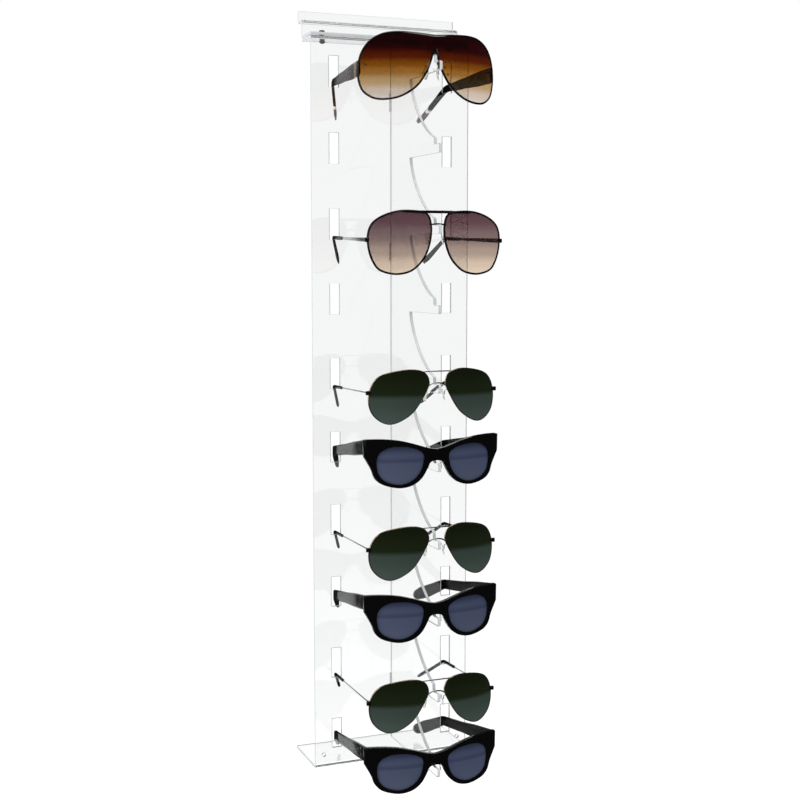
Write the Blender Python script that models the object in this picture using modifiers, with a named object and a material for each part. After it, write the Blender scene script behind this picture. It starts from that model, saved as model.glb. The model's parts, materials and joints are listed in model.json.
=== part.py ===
"""Wall rack for ten pairs of glasses, shown with eight pairs of sunglasses on it.

A clear sheet is folded back at its top and its foot. It has a pair of temple slots for every
row, and a saw-toothed clear fin down its middle carries the nose bridges. A folded hook strip
is screwed to the top of the sheet and hangs the rack on a slotted wall.

Frame: X to the right, Y towards the wall, Z up. The origin is on the hook strip's wall face.
Every pair is modelled about the middle of its own row's slots, at the front of the sheet.
"""

import math

import bmesh
import bpy
from mathutils import Vector

MM = 0.001
GAP = 0.3 * MM  # clearance between pieces that touch

# The sheet
ROWS = 10
ROW_PITCH = 75 * MM
FIRST_ROW = 34.5 * MM  # below the top of the sheet
SHEET = 3 * MM
SHEET_WIDTH = 170 * MM
SHEET_HEIGHT = 745 * MM
TOP_FLANGE = 28 * MM
FOOT = 65 * MM
FOLD_RADIUS = 3 * MM
SLOT_X = 61.3 * MM
SLOT_WIDTH = 10.4 * MM
SLOT_HEIGHT = 31 * MM
FOOT_HOLE = (75.5 * MM, 2 * MM)  # distance from the middle, radius
FOOT_HOLE_DROP = 22 * MM  # below the last row's middle

# The hook strip
HOOK_OUT = 31 * MM  # wall face behind the front of the sheet
HOOK_RISE = 19 * MM
HOOK_STEP = 12 * MM
HOOK_LIP = 10 * MM
ORIGIN_RISE = 9 * MM  # origin above the top of the sheet
SCREW_X = 69 * MM
SCREW_Y = 14 * MM
SCREW_RADIUS = 1.5 * MM
NUT_RADIUS = 3.1 * MM
NUT_HEIGHT = 2.4 * MM

# The nose fin: outward distances are from the front of the sheet, heights from the row's middle
FIN = 3 * MM
FIN_TOP = 9 * MM  # below the top of the sheet
TOOTH_ROOT = 52 * MM
TOOTH_TIP = 125 * MM
TOOTH_UNDER = -11.7 * MM
SADDLE_OUT = (112 * MM, 118 * MM)
SADDLE_FLOOR = -3.7 * MM
LIP_TOP = -3 * MM
SWEEP_END = 115 * MM
SWEEP_FOOT = 3 * MM
SWEEP_POWER = 1.5
TAB_HEIGHT = 18 * MM
TAB_FIRST = 62 * MM  # below the top of the sheet
TAB_PITCH = 2 * ROW_PITCH

# Which style of glasses sits on which row, counted from the top
LOADED_ROWS = {
    1: "shield",
    3: "pilot",
    5: "aviator",
    6: "acetate",
    7: "aviator",
    8: "acetate",
    9: "aviator",
    10: "acetate",
}

# Base curve and bridge place of each style: radius of the front, outward distance of the bridge
FRONT = {
    "aviator": (157 * MM, 118 * MM),
    "pilot": (300 * MM, 118 * MM),
    "acetate": (205 * MM, 115.5 * MM),
    "shield": (125 * MM, 110.2 * MM),
}
# Hinge of each style: distance from the middle, outward distance, height
HINGE = {
    "aviator": (64.0 * MM, 104 * MM, -10.5 * MM),
    "pilot": (68.0 * MM, 109.4 * MM, -17.5 * MM),
    "acetate": (69.0 * MM, 100 * MM, 12.5 * MM),
    "shield": (68.5 * MM, 88.5 * MM, -9.0 * MM),
}
# Flat temples lie this far inside their hinge axis
HINGE_INSET = {"aviator": 0.0, "pilot": 0.0, "acetate": 2.2 * MM, "shield": 1.2 * MM}
# Where each style's temple crosses the sheet, and its tip from there: inward, back, down
CROSSING_HEIGHT = {
    "aviator": -13.5 * MM,
    "pilot": -13.5 * MM,
    "acetate": -4.5 * MM,
    "shield": -11.0 * MM,
}
TIP = {
    "aviator": (15 * MM, 31 * MM, 24 * MM),
    "pilot": (14 * MM, 24 * MM, 25 * MM),
    "acetate": (17 * MM, 38 * MM, 20 * MM),
    "shield": (15 * MM, 34 * MM, 31 * MM),
}

# Lens outlines of the right-hand eye, as points that a smooth loop passes through
AVIATOR_LENS = [
    (9.5, 0.8), (15.4, 8.3), (31.6, 10), (54.6, 4), (63.3, -11.5),
    (60.5, -30), (45.7, -39.3), (25.7, -29.5), (11.7, -8.5),
]
PILOT_LENS = [
    (7.7, -3), (10.1, 4.5), (16.2, 7.8), (33.5, 8.7), (46.5, 6.3), (57, 1.6), (63.9, -5),
    (66.5, -15.3), (65.2, -27.6), (61.3, -38), (55.2, -45), (42.2, -48.3), (29.2, -46.4),
    (20.5, -40.8), (13.6, -32.3), (9.2, -21), (7.5, -11),
]
ACETATE_LENS = [
    (13.2, -2), (12.8, 3.5), (15.2, 7.6), (22.4, 11.2), (32, 13.2), (45, 13), (54, 8.8),
    (57.8, 3), (58.4, -4), (56.7, -12.4), (51.3, -19), (41, -22.9), (31.4, -22.6),
    (22.4, -18.3), (16, -10.9),
]
# Half outlines from the middle of the top edge, outwards, round and back to the nose
ACETATE_TOP = [(0, 9.8), (9, 11.4), (22, 15.4), (37, 19.1), (52, 20.6), (66, 20.6), (69.6, 20)]
ACETATE_BASE = [
    (69.3, 4), (66, -2), (62.4, -9), (59.4, -17), (53, -22.6), (41, -26), (31.5, -26),
    (22.5, -23.2), (15.2, -17.5), (10.6, -10.5), (7.2, -3.6), (4, -1.5), (0, -1),
]
SHIELD_HALF = [
    (0, 20.4), (21.7, 22), (37.4, 22.4), (48.9, 20.4), (58.7, 14.4), (64.7, 5.6),
    (67.6, -5.1), (68, -16.4), (65.4, -27.4), (60.2, -33.4), (52.7, -36.6), (41.2, -36.3),
    (29.6, -32.5), (17.7, -24), (9.8, -13), (5.4, -3), (2.7, 6),
]


def clear_scene():
    for obj in list(bpy.data.objects):
        bpy.data.objects.remove(obj, do_unlink=True)


def new_collection(name):
    collection = bpy.data.collections.new(name)
    bpy.context.scene.collection.children.link(collection)
    return collection


def new_material(name, color, roughness, metallic=0.0, alpha=1.0):
    material = bpy.data.materials.new(name)
    material.use_nodes = True
    shader = material.node_tree.nodes["Principled BSDF"]
    shader.inputs["Base Color"].default_value = (*color, 1.0)
    shader.inputs["Roughness"].default_value = roughness
    shader.inputs["Metallic"].default_value = metallic
    shader.inputs["Alpha"].default_value = alpha
    material.diffuse_color = (*color, alpha)
    return material


# ---------------------------------------------------------------- geometry helpers


def smooth_loop(points, per_span, scale=MM):
    """A closed smooth line through the points, with per_span points to each span."""
    count = len(points)
    anchors = [Vector((x, z)) * scale for x, z in points]
    loop = []
    for i in range(count):
        before, start = anchors[i - 1], anchors[i]
        end, after = anchors[(i + 1) % count], anchors[(i + 2) % count]
        for step in range(per_span):
            t = step / per_span
            loop.append(
                0.5
                * (
                    2 * start
                    + (end - before) * t
                    + (2 * before - 5 * start + 4 * end - after) * t**2
                    + (3 * start - 3 * end + after - before) * t**3
                )
            )
    return loop


def smooth_line(points, per_span, scale=MM):
    """An open smooth line through the points, both ends included."""
    anchors = [Vector((x, z)) * scale for x, z in points]
    anchors = [2 * anchors[0] - anchors[1]] + anchors + [2 * anchors[-1] - anchors[-2]]
    line = []
    for i in range(1, len(anchors) - 2):
        before, start, end, after = anchors[i - 1 : i + 3]
        for step in range(per_span):
            t = step / per_span
            line.append(
                0.5
                * (
                    2 * start
                    + (end - before) * t
                    + (2 * before - 5 * start + 4 * end - after) * t**2
                    + (3 * start - 3 * end + after - before) * t**3
                )
            )
    return line + [anchors[-2]]


def offset_loop(loop, distance):
    """The closed loop moved along its own normals; positive goes outwards."""
    area = sum(
        a.x * b.y - b.x * a.y for a, b in zip(loop, loop[1:] + loop[:1])
    )
    turn = math.copysign(1.0, area)
    moved = []
    for i, point in enumerate(loop):
        along = (loop[(i + 1) % len(loop)] - loop[i - 1]).normalized()
        moved.append(point + Vector((along.y, -along.x)) * distance * turn)
    return moved


def mirrored(loop):
    return [Vector((-p.x, p.y)) for p in reversed(loop)]


def fillet_path(corners, radius, steps=4):
    """The corner points of a path, with each inner corner rounded to the radius."""
    points = [Vector(c) for c in corners]
    path = [points[0]]
    for before, corner, after in zip(points, points[1:], points[2:]):
        into, out = (corner - before).normalized(), (after - corner).normalized()
        half = into.angle(out) / 2
        reach = radius * math.tan(half)
        start, end = corner - into * reach, corner + out * reach
        centre = corner + (out - into).normalized() * radius / math.cos(half)
        first, last = (start - centre).normalized(), (end - centre).normalized()
        for step in range(steps + 1):
            path.append(centre + first.slerp(last, step / steps) * radius)
    return path + [points[-1]]


def front_y(style, x):
    """Y of a style's curved front at a distance from the middle."""
    radius, bridge_out = FRONT[style]
    return -bridge_out + radius - math.sqrt(radius**2 - x**2)


def finish_bmesh(bm, name):
    bmesh.ops.recalc_face_normals(bm, faces=bm.faces[:])
    mesh = bpy.data.meshes.new(name)
    bm.to_mesh(mesh)
    bm.free()
    return mesh


def evaluated_mesh(obj, name):
    depsgraph = bpy.context.evaluated_depsgraph_get()
    mesh = bpy.data.meshes.new_from_object(obj.evaluated_get(depsgraph))
    mesh.name = name
    mesh.transform(obj.matrix_world)
    bm = bmesh.new()
    bm.from_mesh(mesh)
    bmesh.ops.remove_doubles(bm, verts=bm.verts[:], dist=0.00001)
    bm.to_mesh(mesh)
    bm.free()
    return mesh


def scratch_object(data):
    obj = bpy.data.objects.new("scratch", data)
    bpy.context.scene.collection.objects.link(obj)
    bpy.context.view_layer.update()
    return obj


def taken(obj, name):
    """The mesh that an object evaluates to; the object itself is removed."""
    mesh = evaluated_mesh(obj, name)
    bpy.data.objects.remove(obj, do_unlink=True)
    return mesh


def plate_mesh(name, loops, thickness, style=None):
    """A flat plate in the XZ plane from closed outlines, bent to a style's front."""
    curve = bpy.data.curves.new(name, "CURVE")
    curve.dimensions = "2D"
    curve.fill_mode = "BOTH"
    curve.extrude = thickness / 2
    for loop in loops:
        spline = curve.splines.new("POLY")
        spline.points.add(len(loop) - 1)
        for point, place in zip(spline.points, loop):
            point.co = (place.x, place.y, 0.0, 1.0)
        spline.use_cyclic_u = True
    obj = scratch_object(curve)
    obj.rotation_euler.x = math.pi / 2
    bpy.context.view_layer.update()
    mesh = taken(obj, name)
    if style:
        for vertex in mesh.vertices:
            vertex.co.y += front_y(style, vertex.co.x)
    return mesh


def wire_mesh(name, path, radius, scales=None, sides=2):
    """A round wire along a path of points, with a radius factor at each point."""
    curve = bpy.data.curves.new(name, "CURVE")
    curve.dimensions = "3D"
    curve.bevel_depth = radius
    curve.bevel_resolution = sides
    curve.use_fill_caps = True
    spline = curve.splines.new("POLY")
    spline.points.add(len(path) - 1)
    for i, (point, place) in enumerate(zip(spline.points, path)):
        point.co = (*place, 1.0)
        point.radius = scales[i] if scales else 1.0
    return taken(scratch_object(curve), name)


def lens_mesh(name, loop, centre, thickness, style, rings=2):
    """A lens that fills an outline: a disc of spokes and rings, bent to the front."""
    bm = bmesh.new()
    count = len(loop)
    bmesh.ops.create_circle(bm, cap_ends=True, cap_tris=True, segments=count, radius=1.0)
    spokes = [e for e in bm.edges if min(v.co.length for v in e.verts) < 0.5]
    bmesh.ops.subdivide_edges(bm, edges=spokes, cuts=rings)
    for vertex in bm.verts:
        turn = round(math.atan2(vertex.co.x, vertex.co.y) / (2 * math.pi) * count) % count
        place = centre + (loop[turn] - centre) * vertex.co.length
        vertex.co = (place.x, front_y(style, place.x) - thickness / 2, place.y)
    skin = bmesh.ops.extrude_face_region(bm, geom=bm.faces[:])
    moved = [v for v in skin["geom"] if isinstance(v, bmesh.types.BMVert)]
    bmesh.ops.translate(bm, verts=moved, vec=(0, thickness, 0))
    return finish_bmesh(bm, name)


def ribbon_mesh(name, stations, thickness):
    """A flat bar whose middle line and height change: stations of (x, y, z, height)."""
    bm = bmesh.new()
    spans = len(stations) - 1
    bmesh.ops.create_grid(bm, x_segments=spans, y_segments=1, size=1.0)
    for vertex in bm.verts:
        x, y, z, height = stations[round((vertex.co.x + 1) / 2 * spans)]
        vertex.co = (x, y, z + vertex.co.y * height / 2)
    obj = scratch_object(finish_bmesh(bm, name))
    solidify = obj.modifiers.new("thickness", "SOLIDIFY")
    solidify.thickness = thickness
    solidify.offset = 0.0
    solidify.use_even_offset = True
    return taken(obj, name)


def box_mesh(name, size, centre):
    bm = bmesh.new()
    bmesh.ops.create_cube(bm, size=1.0)
    bmesh.ops.scale(bm, verts=bm.verts[:], vec=size)
    bmesh.ops.translate(bm, verts=bm.verts[:], vec=centre)
    return finish_bmesh(bm, name)


def fused_mesh(name, meshes):
    """One body made of overlapping closed meshes."""
    base = scratch_object(meshes[0])
    others = [scratch_object(mesh) for mesh in meshes[1:]]
    for other in others:
        union = base.modifiers.new("union", "BOOLEAN")
        union.operation = "UNION"
        union.object = other
    bpy.context.view_layer.update()
    mesh = taken(base, name)
    for other in others:
        bpy.data.objects.remove(other, do_unlink=True)
    return mesh


class Workshop:
    """Keeps the collections and materials, and puts finished meshes in the scene."""

    def __init__(self):
        self.parts = new_collection("multi_glasses_organizer")
        self.cutters = new_collection("cutters")
        self.materials = {
            "acrylic": new_material("acrylic", (0.93, 0.95, 0.96), 0.05, alpha=0.25),
            "black_screw": new_material("black_screw", (0.02, 0.02, 0.02), 0.35, 0.6),
            "gold_wire": new_material("gold_wire", (0.55, 0.47, 0.33), 0.2, 1.0),
            "silver": new_material("silver", (0.6, 0.6, 0.6), 0.25, 1.0),
            "black_metal": new_material("black_metal", (0.015, 0.013, 0.012), 0.25, 0.5),
            "black_plastic": new_material("black_plastic", (0.01, 0.01, 0.011), 0.15),
            "green_lens": new_material("green_lens", (0.02, 0.035, 0.02), 0.05, alpha=0.95),
            "blue_lens": new_material("blue_lens", (0.04, 0.045, 0.09), 0.05, alpha=0.95),
            "smoke_lens": new_material("smoke_lens", (0.35, 0.25, 0.24), 0.05, alpha=0.75),
            "brown_lens": new_material("brown_lens", (0.3, 0.12, 0.03), 0.05, alpha=0.8),
            "clear_pad": new_material("clear_pad", (0.85, 0.85, 0.82), 0.2, alpha=0.5),
            "brown_plastic": new_material("brown_plastic", (0.06, 0.04, 0.035), 0.3),
        }

    def empty(self, name, parent=None, location=(0, 0, 0)):
        obj = bpy.data.objects.new(name, None)
        obj.parent = parent
        obj.location = location
        self.parts.objects.link(obj)
        return obj

    def part(self, name, mesh, material, parent, location=(0, 0, 0)):
        if not mesh.materials:
            mesh.materials.append(self.materials[material])
        else:
            mesh.materials[0] = self.materials[material]
        obj = bpy.data.objects.new(name, mesh)
        obj.parent = parent
        obj.location = location
        self.parts.objects.link(obj)
        return obj

    def cutter(self, name, mesh, parent, target):
        obj = bpy.data.objects.new(name, mesh)
        obj.parent = parent
        obj.hide_render = True
        obj.display_type = "WIRE"
        self.cutters.objects.link(obj)
        cut = target.modifiers.new(name, "BOOLEAN")
        cut.operation = "DIFFERENCE"
        cut.object = obj
        return obj


# ---------------------------------------------------------------- the rack


def row_height(row):
    """Height of a row's middle above the top of the sheet."""
    return -FIRST_ROW - ROW_PITCH * (row - 1)


def folded_sheet(name, corners, radius):
    """A sheet folded along a path of (y, z) corners that runs down its middle."""
    path = fillet_path([(0.0, y, z) for y, z in corners], radius)
    bm = bmesh.new()
    line = [bm.verts.new((-SHEET_WIDTH / 2, p.y, p.z)) for p in path]
    edges = [bm.edges.new(pair) for pair in zip(line, line[1:])]
    swept = bmesh.ops.extrude_edge_only(bm, edges=edges)
    far = [v for v in swept["geom"] if isinstance(v, bmesh.types.BMVert)]
    bmesh.ops.translate(bm, verts=far, vec=(SHEET_WIDTH, 0, 0))
    obj = scratch_object(finish_bmesh(bm, name))
    solidify = obj.modifiers.new("thickness", "SOLIDIFY")
    solidify.thickness = SHEET
    solidify.offset = 0.0
    solidify.use_even_offset = True
    return taken(obj, name)


def holes_mesh(name, boxes, rounds):
    """Cutters in one mesh: boxes of (centre, size) and rods of (centre, radius, matrix)."""
    bm = bmesh.new()
    for centre, size in boxes:
        made = bmesh.ops.create_cube(bm, size=1.0)["verts"]
        bmesh.ops.scale(bm, verts=made, vec=size)
        bmesh.ops.translate(bm, verts=made, vec=centre)
    for centre, radius, along_y in rounds:
        made = bmesh.ops.create_cone(
            bm, cap_ends=True, segments=16, radius1=radius, radius2=radius, depth=20 * MM
        )["verts"]
        for vertex in made:
            x, y, z = vertex.co
            place = Vector((x, z, -y)) if along_y else Vector((x, y, z))
            vertex.co = place + Vector(centre)
    return finish_bmesh(bm, name)


def tab_heights():
    """Heights of the middles of the fin's tabs."""
    lowest = row_height(ROWS) + TOOTH_UNDER + TAB_HEIGHT
    height = -TAB_FIRST
    heights = []
    while height > lowest:
        heights.append(height)
        height -= TAB_PITCH
    return heights


def build_sheet(shop, datum):
    half = SHEET / 2
    corners = [
        (TOP_FLANGE, -half),
        (half, -half),
        (half, half - SHEET_HEIGHT),
        (FOOT, half - SHEET_HEIGHT),
    ]
    sheet = shop.part(
        "back_panel", folded_sheet("back_panel", corners, FOLD_RADIUS), "acrylic", datum
    )
    boxes = []
    for row in range(1, ROWS + 1):
        for side in (-1, 1):
            centre = (side * SLOT_X, half, row_height(row))
            boxes.append((centre, (SLOT_WIDTH, 4 * SHEET, SLOT_HEIGHT)))
    for height in tab_heights():
        size = (FIN + 2 * GAP, 4 * SHEET, TAB_HEIGHT + 2 * GAP)
        boxes.append(((0, half, height), size))
    rounds = []
    for side in (-1, 1):
        foot_hole = (side * FOOT_HOLE[0], half, row_height(ROWS) - FOOT_HOLE_DROP)
        rounds.append((foot_hole, FOOT_HOLE[1], True))
        rounds.append(((side * SCREW_X, SCREW_Y, -half), SCREW_RADIUS + GAP, False))
    shop.cutter("panel_holes", holes_mesh("panel_holes", boxes, rounds), datum, sheet)


def tooth_sweep(row, top=None):
    """Points down the hollow front edge of one tooth, as (outward, height)."""
    reach = SWEEP_END - TOOTH_ROOT
    rise = ROW_PITCH + TOOTH_UNDER - SWEEP_FOOT
    middle = row_height(row)
    points = []
    for step in range(11):
        turn = step / 10 * math.pi / 2
        out = SWEEP_END - reach * math.cos(turn) ** (2 / SWEEP_POWER)
        height = middle + SWEEP_FOOT + rise * (1 - math.sin(turn) ** (2 / SWEEP_POWER))
        if out < SADDLE_OUT[0] and (top is None or height < top):
            points.append(Vector((out, height)))
    return points


def build_fin(shop, datum):
    top = -FIN_TOP
    outline = [Vector((GAP, top)), Vector((72 * MM, top))]
    for row in range(1, ROWS + 1):
        middle = row_height(row)
        outline += tooth_sweep(row, top if row == 1 else None)
        inner, outer = SADDLE_OUT
        outline += [
            Vector((inner, middle + SWEEP_FOOT)),
            Vector((inner + 0.6 * MM, middle + SADDLE_FLOOR + 0.6 * MM)),
            Vector((inner + 1.4 * MM, middle + SADDLE_FLOOR)),
            Vector((outer, middle + SADDLE_FLOOR)),
            Vector((TOOTH_TIP - 2 * MM, middle + LIP_TOP)),
            Vector((TOOTH_TIP, middle + LIP_TOP - 1 * MM)),
            Vector((TOOTH_TIP, middle + TOOTH_UNDER + 1.5 * MM)),
            Vector((TOOTH_TIP - 1.5 * MM, middle + TOOTH_UNDER)),
        ]
        if row < ROWS:
            outline.append(Vector((TOOTH_ROOT, middle + TOOTH_UNDER)))
    outline.append(Vector((GAP, row_height(ROWS) + TOOTH_UNDER)))
    for height in reversed(tab_heights()):
        low, high = height - TAB_HEIGHT / 2, height + TAB_HEIGHT / 2
        outline += [
            Vector((GAP, low)),
            Vector((-SHEET, low)),
            Vector((-SHEET, high)),
            Vector((GAP, high)),
        ]
    mesh = plate_mesh("nose_fin", [outline], FIN)
    for vertex in mesh.vertices:
        out, across = vertex.co.x, vertex.co.y
        vertex.co.x, vertex.co.y = across, -out
    shop.part("nose_fin", mesh, "acrylic", datum)


def build_hook(shop, datum):
    half = SHEET / 2
    corners = [
        (half, GAP + half),
        (HOOK_OUT - half, GAP + half),
        (HOOK_OUT - half, HOOK_RISE - half),
        (HOOK_OUT + HOOK_STEP - half, HOOK_RISE - half),
        (HOOK_OUT + HOOK_STEP - half, HOOK_RISE + HOOK_LIP),
    ]
    hook = shop.part("header_hook", folded_sheet("header_hook", corners, 2 * MM), "acrylic", datum)
    rounds = [((side * SCREW_X, SCREW_Y, half), SCREW_RADIUS + GAP, False) for side in (-1, 1)]
    shop.cutter("hook_holes", holes_mesh("hook_holes", [], rounds), datum, hook)


def turned_mesh(name, profile, steps=20):
    """A solid turned about Z from a profile of (radius, height), top to bottom."""
    bm = bmesh.new()
    line = [bm.verts.new((radius, 0, height)) for radius, height in profile]
    for pair in zip(line, line[1:]):
        bm.edges.new(pair)
    mesh = bpy.data.meshes.new(name)
    bm.to_mesh(mesh)
    bm.free()
    obj = scratch_object(mesh)
    screw = obj.modifiers.new("turn", "SCREW")
    screw.steps = screw.render_steps = steps
    screw.use_merge_vertices = True
    screw.merge_threshold = 0.00001
    return taken(obj, name)


def build_fasteners(shop, datum):
    seat = SHEET + 2 * GAP
    reach = seat + SHEET + GAP + NUT_HEIGHT + 0.8 * MM
    profile = [
        (0, 2.2 * MM),
        (1.3 * MM, 1.9 * MM),
        (2.3 * MM, 1.1 * MM),
        (2.75 * MM, 0),
        (SCREW_RADIUS, 0),
        (SCREW_RADIUS, -reach),
        (0, -reach),
    ]
    screw = turned_mesh("dome_screw", profile, 16)
    nut = plate_mesh("nut", [hexagon(NUT_RADIUS), ring(SCREW_RADIUS + GAP)], NUT_HEIGHT)
    for vertex in nut.vertices:
        x, y, z = vertex.co
        vertex.co = (x, z, y)
    nut.flip_normals()
    for side, letter in ((-1, "l"), (1, "r")):
        shop.part(f"screw_{letter}", screw, "black_screw", datum, (side * SCREW_X, SCREW_Y, seat))
        nut_height = -SHEET - GAP - NUT_HEIGHT / 2
        shop.part(f"nut_{letter}", nut, "black_screw", datum, (side * SCREW_X, SCREW_Y, nut_height))


def ring(radius, count=12):
    turns = [2 * math.pi * i / count for i in range(count)]
    return [Vector((radius * math.cos(t), radius * math.sin(t))) for t in turns]


def hexagon(radius):
    return ring(radius, 6)


# ---------------------------------------------------------------- the glasses


def temple_line(style, side, start_back=0.0):
    """Corner points of a temple from behind its hinge to its tip, from the hinge."""
    hinge_x, hinge_out, hinge_height = HINGE[style]
    inward, back, down = TIP[style]
    across = hinge_x - SLOT_X
    drop = CROSSING_HEIGHT[style] - hinge_height
    bend_back = hinge_out + SHEET + 2.5 * MM
    part_way = start_back / bend_back
    inset = HINGE_INSET[style]
    start_in = inset + (across - inset) * part_way
    return [
        Vector((-side * start_in, start_back, drop * part_way)),
        Vector((-side * across, bend_back, drop)),
        Vector((-side * (across + inward), bend_back + back, drop - down)),
    ]


def split_path(path, distance):
    """Index at which the path has run the distance, with a point added there."""
    run = 0.0
    for i, (a, b) in enumerate(zip(path, path[1:])):
        step = (b - a).length
        if run + step > distance:
            return i + 1, path[: i + 1] + [a.lerp(b, (distance - run) / step)] + path[i + 1 :]
        run += step
    return len(path) - 1, path


def wire_temple(style, side, wire, sleeve, sleeve_from):
    """A wire temple whose end is sleeved."""
    path = fillet_path(temple_line(style, side, 0.9 * MM), 9 * MM, 5)
    index, path = split_path(path, sleeve_from)
    step = (path[index + 1] - path[index]).normalized() * 0.6 * MM
    path.insert(index + 1, path[index] + step)
    scales = [1.0] * (index + 1) + [sleeve / wire] * (len(path) - index - 1)
    return wire_mesh("temple", path, wire, scales)


def metal_front(style, lens_points, brow_height, brow_half, brow_radius, bridge, lug):
    """Rims, brow bar, bridge, end lugs and pad arms of a metal frame, as one body."""
    rim_width, rim_depth = 1.3 * MM, 2.2 * MM
    right = smooth_loop(lens_points, 4)
    pieces = []
    for loop in (right, mirrored(right)):
        inner = offset_loop(loop, -rim_width)
        pieces.append(plate_mesh("rim", [loop, inner], rim_depth, style))
    brow = []
    for step in range(-4, 5):
        x = step / 4 * brow_half
        brow.append(Vector((x, front_y(style, x), brow_height)))
    pieces.append(wire_mesh("brow", brow, brow_radius))
    arch = [Vector((x, front_y(style, x), z)) for x, z in bridge]
    pieces.append(wire_mesh("bridge", arch, 0.75 * MM))
    hinge_x, hinge_out, hinge_height = HINGE[style]
    for side in (-1, 1):
        lug_x, lug_size = lug
        back = -hinge_out - 0.4 * MM
        front = front_y(style, lug_x) - 0.3 * MM
        size = (lug_size, back - front, 3.2 * MM)
        centre = (side * lug_x, (back + front) / 2, hinge_height)
        pieces.append(box_mesh("lug", size, centre))
        pieces.append(wire_mesh("arm", pad_arm(style, lens_points, side), 0.45 * MM, sides=1))
    return fused_mesh(f"{style}_front", pieces)


def pad_place(style, side):
    height = {"aviator": -14, "pilot": -16, "shield": -13}[style] * MM
    out = FRONT[style][1] - 7 * MM
    reach = {"aviator": 9.2, "pilot": 7.4, "shield": 5.4}[style] * MM
    return Vector((side * reach, -out, height))


def pad_arm(style, lens_points, side):
    """A short looped wire from the nose side of the rim to behind the pad."""
    pad = pad_place(style, side)
    height = pad.z + 5 * MM
    near = [p for p in smooth_loop(lens_points, 12) if abs(p.y - height) < 1 * MM]
    rim_x = min(p.x for p in near) + 0.7 * MM
    start = Vector((side * rim_x, front_y(style, rim_x), height))
    return [
        start,
        start + Vector((0, 3 * MM, 0)),
        Vector((pad.x + side * 2.4 * MM, pad.y + 1.5 * MM, pad.z + 3 * MM)),
        Vector((pad.x + side * 1.9 * MM, pad.y + 0.6 * MM, pad.z + 0.5 * MM)),
    ]


def pad_mesh():
    bm = bmesh.new()
    bmesh.ops.create_uvsphere(bm, u_segments=10, v_segments=6, radius=1.0)
    bmesh.ops.scale(bm, verts=bm.verts[:], vec=(0.9 * MM, 2.6 * MM, 6 * MM))
    return finish_bmesh(bm, "nose_pad")


def lens_pair(shop, pair, name, style, points, material, clearance, thickness, rings=1):
    right = offset_loop(smooth_loop(points, 3), -clearance)
    xs, zs = [p.x for p in right], [p.y for p in right]
    centre = Vector(((min(xs) + max(xs)) / 2, (min(zs) + max(zs)) / 2))
    for loop, middle, letter in (
        (mirrored(right), Vector((-centre.x, centre.y)), "l"),
        (right, centre, "r"),
    ):
        mesh = lens_mesh(f"{name}_lens_{letter}", loop, middle, thickness, style, rings)
        shop.part(f"{name}_lens_{letter}", mesh, material, pair)


def add_pads(shop, pair, name, style):
    for side, letter in ((-1, "l"), (1, "r")):
        pad = shop.part(f"{name}_pad_{letter}", pad_mesh(), "clear_pad", pair, pad_place(style, side))
        pad.rotation_euler = (0, -side * 0.22, -side * 0.35)


def hinge_place(style, side):
    hinge_x, hinge_out, hinge_height = HINGE[style]
    return (side * hinge_x, -hinge_out, hinge_height)


def build_aviator(shop, pair, name):
    style = "aviator"
    bridge = [(x * MM, z * MM) for x, z in [(-11.2, -6.4), (-8.4, -4), (-4, -2.1), (0, -1.9),
                                            (4, -2.1), (8.4, -4), (11.2, -6.4)]]
    front = metal_front(
        style, AVIATOR_LENS, 9.0 * MM, 19 * MM, 0.8 * MM, bridge, (63.6 * MM, 2.4 * MM)
    )
    shop.part(f"{name}_frame", front, "gold_wire", pair)
    lens_pair(shop, pair, name, style, AVIATOR_LENS, "green_lens", 1.65 * MM, 1.6 * MM)
    add_pads(shop, pair, name, style)
    for side, letter in ((-1, "l"), (1, "r")):
        temple = wire_temple(style, side, 0.75 * MM, 1.6 * MM, 80 * MM)
        shop.part(f"{name}_temple_{letter}", temple, "silver", pair, hinge_place(style, side))


def bar_stations(style, side, heights, start_back, end_back=None):
    """Stations down a flat temple: heights are (fraction of its length, height)."""
    path = fillet_path(temple_line(style, side, start_back), 16 * MM, 4)
    if end_back is not None:
        index, path = split_path(path, end_back)
        path = path[: index + 1]
    dense = []
    for a, b in zip(path, path[1:]):
        pieces = max(1, round((b - a).length / (22 * MM)))
        dense += [a.lerp(b, i / pieces) for i in range(pieces)]
    dense.append(path[-1])
    runs = [0.0]
    for a, b in zip(dense, dense[1:]):
        runs.append(runs[-1] + (b - a).length)
    stations = []
    for point, run in zip(dense, runs):
        part = run / runs[-1]
        for (p0, h0), (p1, h1) in zip(heights, heights[1:]):
            if p0 <= part <= p1 + 1e-9:
                height = h0 + (h1 - h0) * (part - p0) / (p1 - p0)
                break
        stations.append((*point, height))
    return stations


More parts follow.
